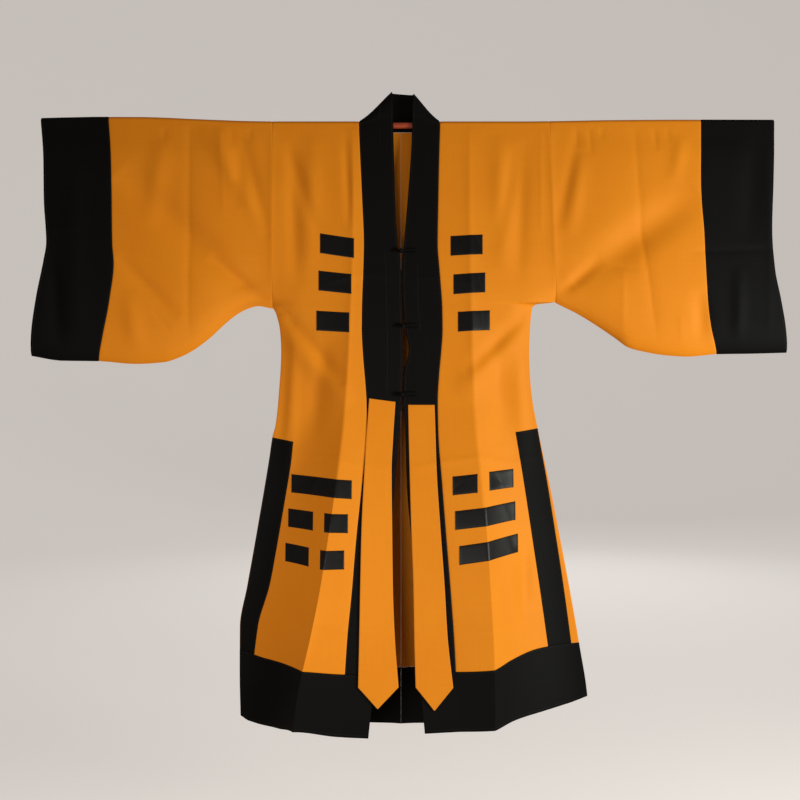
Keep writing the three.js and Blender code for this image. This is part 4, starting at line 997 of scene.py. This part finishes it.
# Below the collar a single black band edges each front, and a deep one runs round the hem of the
# fronts and the backs. All are cut double and stitched along their seams.
for side in SIDES:
    flip = side == "left"
    across = columns((0, 1, 17))
    levels = body_levels(side, start=COLLAR_END[side][0])
    down = (levels - levels[0]) / (HEM_LEVEL - levels[0])
    levels = mix(collar_end(side, 1 - across) + COLLAR_GAP, HEM_LEVEL, down[:, None])
    seam = read(HEM[side], "seam", across)
    drops = stretched_drop(levels, seam - SEAM)
    edge_band = Cloth(
        f"edge_strip_{side}", front_at(side, across[None], drops), BAND, black,
        seams="last bottom", flip=flip,
    ).stands_for(f"edge_band_{side}")
    across = columns((0, 1, 17), (1, 2, 14), (2, 3, 40))
    seam = read(HEM[side], "seam", across) + SEAM
    edge = read(HEM[side], "edge", across)
    shares = columns((0, 1, 26))
    front_hem = Cloth(
        f"front_hem_strip_{side}", front_at(side, across[None], mix(seam, edge, shares[:, None])),
        BAND, black, seams="top", flip=flip,
    ).stands_for(f"hem_front_{side}")
    across = columns((0, 1, 62))
    seam = read(BACK_HEM, "seam", across) + SEAM
    edge = read(BACK_HEM, "edge", across)
    back_hem = Cloth(
        f"back_hem_strip_{side}", back_at(side, across[None], mix(seam, edge, shares[:, None])),
        BAND, black, seams="top", flip=not flip,
    ).stands_for(f"hem_back_{side}")
    hem_lines = [h.line(e, i) for h in (front_hem, back_hem) for e, i in (("top", 2), ("bottom", 5))]
    hem_lines += [edge_band.line("last", 2), edge_band.line("first", 4)]
    sew(f"stitches_hem_{side}", hem_lines, black_thread)

# The side slits are edged with black strips laid on the yellow cloth, front and back, and
# stitched down along both edges.
SLIT_TOP = {"right": 624, "left": 606}
SLIT_WIDTH = {
    "right": table("down wide", [(0, 44), (0.15, 46), (0.6, 46), (1, 29)]),
    "left": table("down wide", [(0, 46), (0.35, 48.5), (1, 50)]),
    "back": 46,
}
SLIT_SLANT = {"right": 8, "left": 7}  # how much lower the inner corner of the top is
SLIT_SLANTED = 48  # the length over which the slant is gone
SLIT_EDGE = 0.6
SLIT_ROWS = 104
SLIT_RUN_OUT = {"right": 0, "left": 16}
LAID = 0.15  # between the panel's face and a strip laid on it


def moved_out(grid, by):
    """A grid of points moved along its own normals."""
    normal = np.cross(np.gradient(grid, axis=1), np.gradient(grid, axis=0))
    return grid + by * normal / np.linalg.norm(normal, axis=2)[..., None]


for side in SIDES:
    top = SLIT_TOP[side]
    even = np.linspace(top, HEM_LEVEL, SLIT_ROWS)
    levels = np.unique(np.concatenate([even, top + np.array([0.8, 2])]))[:, None]
    down = (levels - top) / (HEM_LEVEL - top)
    edge = read(FRONT_LINES[side], "side", levels)
    outer = edge - SLIT_EDGE - SLIT_RUN_OUT[side] * down
    inner = outer - read(SLIT_WIDTH[side], "wide", down)
    shares = columns((0, 1, 13))[None]
    across = across_at(side, mix(inner, outer, shares), levels)
    slant = SLIT_SLANT[side] * (1 - shares) * np.maximum(0, 1 - (levels - top) / SLIT_SLANTED)
    drops = stretched_drop(levels, read(HEM[side], "seam", across) - SEAM) + slant
    lift = (CLOTH + BAND) / 2 + LAID
    laid = moved_out(front_at(side, across, drops), -lift * SIGN[side])
    front_slit = Cloth(
        f"front_slit_strip_{side}", laid, BAND, black,
        seams="first bottom", flip=side == "left",
    ).stands_for(f"slit_band_front_{side}")
    edge = edge - read(BACK_INSET, "by", levels)
    first, last = (edge - SLIT_EDGE - SLIT_WIDTH["back"]) / edge, (edge - SLIT_EDGE) / edge
    share = mix(first, last, shares)
    drops = stretched_drop(levels, read(BACK_HEM, "seam", share) - SEAM)
    laid = moved_out(back_at(side, share, drops), lift * SIGN[side])
    back_slit = Cloth(
        f"back_slit_strip_{side}", laid, BAND, black,
        seams="first bottom", flip=side == "right",
    ).stands_for(f"slit_band_back_{side}")
    slit_lines = [b.line(e, i) for b in (front_slit, back_slit) for e, i in (("first", 2), ("last", 2.5))]
    slit_lines += [b.line("top", 2) for b in (front_slit, back_slit)]
    sew(f"stitches_slit_{side}", slit_lines, black_thread)

# Two yellow ribbons are sewn under the ends of the collar and hang in front of the edge bands.
# Each is the yellow cloth folded double, stitched along its edges, and ends in a point.
RIBBONS = {
    "right": table("drop inner outer", [
        (545, 11, 62.7), (620, 15.7, 67.5), (680, 18.4, 71), (800, 17.2, 76.5), (910, 15.7, 78.6),
        (1000, 12.2, 80), (1099, 4.8, 82),
    ]),
    "left": table("drop inner outer", [
        (558, 14, 65.8), (620, 15.2, 67.6), (680, 16.6, 69.2), (800, 20, 76.4), (910, 24, 84),
        (1000, 25.4, 89), (1099, 28, 99.7),
    ]),
}
RIBBON_TIP = {"right": (44.7, 1140), "left": (64, 1143)}
RIBBON_STAND = 2.2
RIBBON_FREE = 400  # the length over which it comes to stand off that far
RIBBON_ROWS = 126
RIBBON_GAP = 0.7
RIBBON = 1.3
YELLOW_THREAD = (0.85, 0.36, 0.03, 1)

yellow_thread = thread("yellow_thread", YELLOW_THREAD)
ribbon_lines = []
for side in SIDES:
    source = RIBBONS[side]
    bottom = source["drop"][-1]
    tip_x, tip_drop = RIBBON_TIP[side]
    straight = np.linspace(COLLAR_END[side][0], bottom, RIBBON_ROWS)
    pointed = np.concatenate([np.linspace(0.1, 0.9, 9), [0.96, 0.985]])
    inner, outer = (
        np.concatenate([read(source, n, straight), mix(source[n][-1], tip_x, pointed)])
        for n in ("inner", "outer")
    )
    x = mix(inner[:, None], outer[:, None], columns((0, 1, 15))[None])
    share = 1 - x[:RIBBON_ROWS] / read(FRONT_LINES[side], "band", straight[0])
    down = (straight - straight[0]) / (bottom - straight[0])
    hanging = mix(collar_end(side, share) + COLLAR_GAP, bottom, down[:, None])
    tip = mix(bottom, tip_drop, pointed)[:, None] + 0 * x[RIBBON_ROWS:]
    drop = np.concatenate([hanging, tip])
    under = front_at(side, across_at(side, x, drop), drop)
    stand = RIBBON_GAP + (BAND + RIBBON) / 2 + RIBBON_STAND * ease((drop - straight[0]) / RIBBON_FREE)
    grid = points(SIGN[side] * x, under[..., 1] - stand, -drop)
    ribbon = Cloth(
        f"ribbon_strip_{side}", grid, RIBBON, yellow, flip=side == "left",
    ).stands_for(f"ribbon_{side}")
    ribbon_lines += [ribbon.line("first", 2.4), ribbon.line("last", 2.4)]
sew("stitches_ribbons", ribbon_lines, yellow_thread)

# Fifteen bars of black satin, three trigram rows on each breast and each skirt, are sewn on flat
# with their edges turned under.
BAR_HEIGHT = {"chest": 39, "skirt": 36}
BAR = 0.8
BAR_LAID = 0.45  # between the panel's face and a bar
BAR_STEP = 2.4
SATIN = (0.004, 0.0043, 0.0045, 1)
SATIN_DEEP = (0.0035, 0.004, 0.004, 1)
BARS = [
    ("chest_right_1", "right", 126.6, 244, 67, -10.5),
    ("chest_right_2", "right", 130.4, 316.4, 65, -7.5),
    ("chest_right_3", "right", 134.5, 394, 65.5, -4.5),
    ("chest_left_1", "left", 129.8, 242.8, 63, -3),
    ("chest_left_2", "left", 135.1, 318.6, 62.5, -4),
    ("chest_left_3", "left", 144, 393, 63, -3.5),
    ("skirt_right_1", "right", 156.5, 719, 121.5, -9),
    ("skirt_right_2_outer", "right", 197.6, 784.3, 51.5, -4),
    ("skirt_right_2_inner", "right", 125.7, 787.8, 45.7, -1.5),
    ("skirt_right_3_outer", "right", 204.2, 852.8, 49, -5.5),
    ("skirt_right_3_inner", "right", 132.8, 857.6, 46, 0),
    ("skirt_left_1_inner", "left", 124.8, 713.6, 48, -5.5),
    ("skirt_left_1_outer", "left", 197, 705.5, 49.8, -4.3),
    ("skirt_left_2", "left", 165.2, 775, 120, -15.6),
    ("skirt_left_3", "left", 171.4, 840, 117, -19),
]


def black_satin():
    finish = Finish("black_satin")
    cut = finish.cut()
    floats = finish.noise(finish.stretched(cut, (2600, 240, 1)), detail=2)
    place = finish.place()
    cloudy = finish.noise(place, scale=45, detail=3)
    relief = floats * 0.5 + cloudy * 2.2
    return finish.closed({
        "Base Color": finish.blend(cloudy, SATIN_DEEP, SATIN),
        "Roughness": floats * 0.12 + cloudy * 0.12 + 0.26,
        "Specular IOR Level": 0.2,
        "Anisotropic": 0.4,
        "Normal": finish.bump(relief, depth=0.1, strength=0.6),
    })


satin = black_satin()
bar_lines = []
for name, side, centre, drop, wide, fall in BARS:
    out = columns((-0.5, 0.5, round(wide / BAR_STEP)))[None]
    down = columns((-0.5, 0.5, 15))[:, None]
    x = centre + out * wide + 0 * down
    drops = drop + down * BAR_HEIGHT[name[:5]] + out * fall
    lift = (CLOTH + BAR) / 2 + BAR_LAID
    laid = moved_out(front_at(side, across_at(side, x, drops), drops), -lift * SIGN[side])
    bar = Cloth(
        f"bar_patch_{name}", laid, BAR, satin, seams="first last top bottom", flip=side == "left",
    ).stands_for(f"bar_{name}")
    bar_lines += [bar.line(edge, 1.6) for edge in ("first", "last", "top", "bottom")]
sew("stitches_bars", bar_lines, black_thread)

# Three knot buttons close the collar: a ball of knotted cord on a doubled stem on the right edge,
# and a loop of the same cord on the left. Their cords are tubes of the black cloth.
BUTTONS = [(254, 0), (403, 4), (538, 2)]
KNOT_RADIUS = 5.5
KNOT_CORD = 1.5
KNOT_TURNED = 0.4
STEM = {"from": 3.4, "length": 17, "radius": 1.25, "off_middle": 1.35}
LOOP = {"radius": 3.6, "length": 17, "cord": 1.2, "clear": 1.3}


def collar_face(side, start, end, drop):
    """How far forward the collar's face stands anywhere between two distances from the middle."""
    x = np.maximum(np.linspace(start, end, 5), read(FRONT_LINES[side], "free", drop))
    y = front_at(side, across_at(side, x, drop), np.full_like(x, drop))[:, 1]
    return y.min() - COLLAR_FORM / 2 - COLLAR_GAP


def joined(parts):
    """Several closed tubes as one list of points and one of faces."""
    offsets = np.cumsum([0] + [len(p) for p, _ in parts])
    faces = [tuple(k + o for k in face) for (_, f), o in zip(parts, offsets) for face in f]
    return np.concatenate([p for p, _ in parts]), faces


for number, (drop, x) in enumerate(BUTTONS, start=1):
    y = collar_face("right", 0, STEM["length"] - x, drop) - KNOT_RADIUS
    turn = np.linspace(0, 2 * math.pi, 150, endpoint=False)
    rise = np.radians(62) * np.sin(3 * turn)
    reach = KNOT_RADIUS - KNOT_CORD - 0.5 + 0.5 * np.cos(6 * turn + math.pi / 2)
    ball = points(
        x + reach * np.cos(rise) * np.cos(2 * turn + KNOT_TURNED),
        y + reach * np.cos(rise) * np.sin(2 * turn + KNOT_TURNED),
        reach * np.sin(rise) - drop,
    )
    core_turn = np.linspace(-math.pi / 2, math.pi / 2, 13)[1:-1]
    core_size = KNOT_RADIUS - KNOT_CORD - 0.6
    core = points(x, y, core_size * np.sin(core_turn) - drop)
    stems = []
    lean = math.asin((KNOT_RADIUS - STEM["radius"]) / STEM["length"])
    for up in (-1, 1):
        run = np.linspace(STEM["from"], STEM["length"], 9)
        z = up * STEM["off_middle"] - drop
        stem = points(x - run * math.cos(lean), y + run * math.sin(lean), z)
        stems.append(tube(stem, STEM["radius"], sides=10))
    shapes = [tube(ball, KNOT_CORD, sides=8, ends=False), tube(core, core_size * np.cos(core_turn), 16)]
    knot = mesh_piece(f"button_knot_{number}", *joined(shapes + stems), black)
    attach(knot, "root")
    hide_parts(f"knot_{number}")
    neck_x = x + KNOT_RADIUS + LOOP["radius"] + LOOP["clear"]
    y = collar_face("left", neck_x, neck_x + LOOP["length"], drop) - LOOP["clear"]
    bend = np.radians(np.linspace(-90, 90, 17))
    tail = neck_x + np.linspace(LOOP["length"], 1, 9)
    upper, lower = LOOP["radius"] - drop, -LOOP["radius"] - drop
    path = np.concatenate([
        points(tail, y, lower),
        points(neck_x - LOOP["radius"] * np.cos(bend), y, LOOP["radius"] * np.sin(bend) - drop),
        points(tail[::-1], y, upper),
    ])
    loop = mesh_piece(f"button_loop_{number}", *tube(path, LOOP["cord"], sides=10), black)
    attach(loop, "root")
    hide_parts(f"loop_{number}")

# The studio: a pale seamless floor that sweeps up far away on every side, a soft light low at the
# right of the picture, a weak one before the skirt, a broad one behind, and a warm even fill.
FLOOR_LEVEL = -1460
FLOOR_REACH = 6500
FLOOR_SWEEP = 1600
FLOOR_TOP = 5200
FLOOR_SIDES = 72
PALE = (0.8, 0.8, 0.79, 1)
GLOW = 0.42  # the floor's own even light, which keeps it pale behind the robe


def plain_floor():
    finish = Finish("pale_floor")
    place = finish.place()
    cloudy = finish.noise(place, scale=3, detail=3)
    darker = tuple(0.97 * c for c in PALE[:3]) + (1,)
    return finish.closed({
        "Base Color": finish.blend(cloudy, darker, PALE), "Roughness": 0.9,
        "Emission Color": PALE, "Emission Strength": GLOW,
    })


bend = np.radians(np.linspace(0, 90, 13))
curve = FLOOR_REACH - FLOOR_SWEEP * (1 - np.sin(bend))
reach = np.concatenate([[20, 2000, 4500], curve, [FLOOR_REACH]])
rise = np.concatenate([[0, 0, 0], FLOOR_SWEEP * (1 - np.cos(bend)), [FLOOR_TOP]])
around = np.linspace(0, 2 * math.pi, FLOOR_SIDES, endpoint=False)
rings = points(
    reach[:, None] * np.cos(around), reach[:, None] * np.sin(around), FLOOR_LEVEL + rise[:, None]
)
spot = lambda i, k: i * FLOOR_SIDES + k % FLOOR_SIDES
faces = [
    (spot(i + 1, k), spot(i + 1, k + 1), spot(i, k + 1), spot(i, k))
    for i in range(len(reach) - 1) for k in range(FLOOR_SIDES)
] + [tuple(range(FLOOR_SIDES))]
floor = mesh_piece("floor", rings.reshape(-1, 3), faces, plain_floor())
floor.visible_diffuse = False
floor.visible_glossy = False

world = bpy.data.worlds.new("studio")
bpy.context.scene.world = world
world.use_nodes = True
background = world.node_tree.nodes["Background"]
background.inputs["Color"].default_value = (1, 0.78, 0.66, 1)
background.inputs["Strength"].default_value = 0.24


def area_light(name, place, aim, size, power, colour):
    light = bpy.data.lights.new(name, "AREA")
    light.shape = "RECTANGLE"
    light.size, light.size_y = size
    light.energy = power
    light.color = colour
    lamp = in_scene(name, light)
    lamp.location = place
    way = Vector(aim) - Vector(place)
    lamp.rotation_euler = way.to_track_quat("-Z", "Y").to_euler()


MIDDLE = (0, 0, -0.6)
area_light("key", (1.9, -1.25, -0.8), MIDDLE, (0.6, 0.8), 42, (0.98, 1, 0.92))
area_light("low", (-0.4, -1, -0.92), (-0.1, 0, -0.75), (0.5, 0.4), 3.9, (1, 0.95, 0.86))
area_light("back", (0.9, 4.4, 1.2), MIDDLE, (2, 2), 40, (1, 0.97, 0.92))

CAMERA_DISTANCE = 2.3
camera = in_scene("camera", bpy.data.cameras.new("camera"))
camera.location = (-0.002, -CAMERA_DISTANCE, -0.549)
camera.rotation_euler = (math.radians(90), 0, 0)
camera.data.sensor_width = 36
camera.data.lens = 51.75
bpy.context.scene.camera = camera
bpy.context.scene.view_settings.view_transform = "Standard"
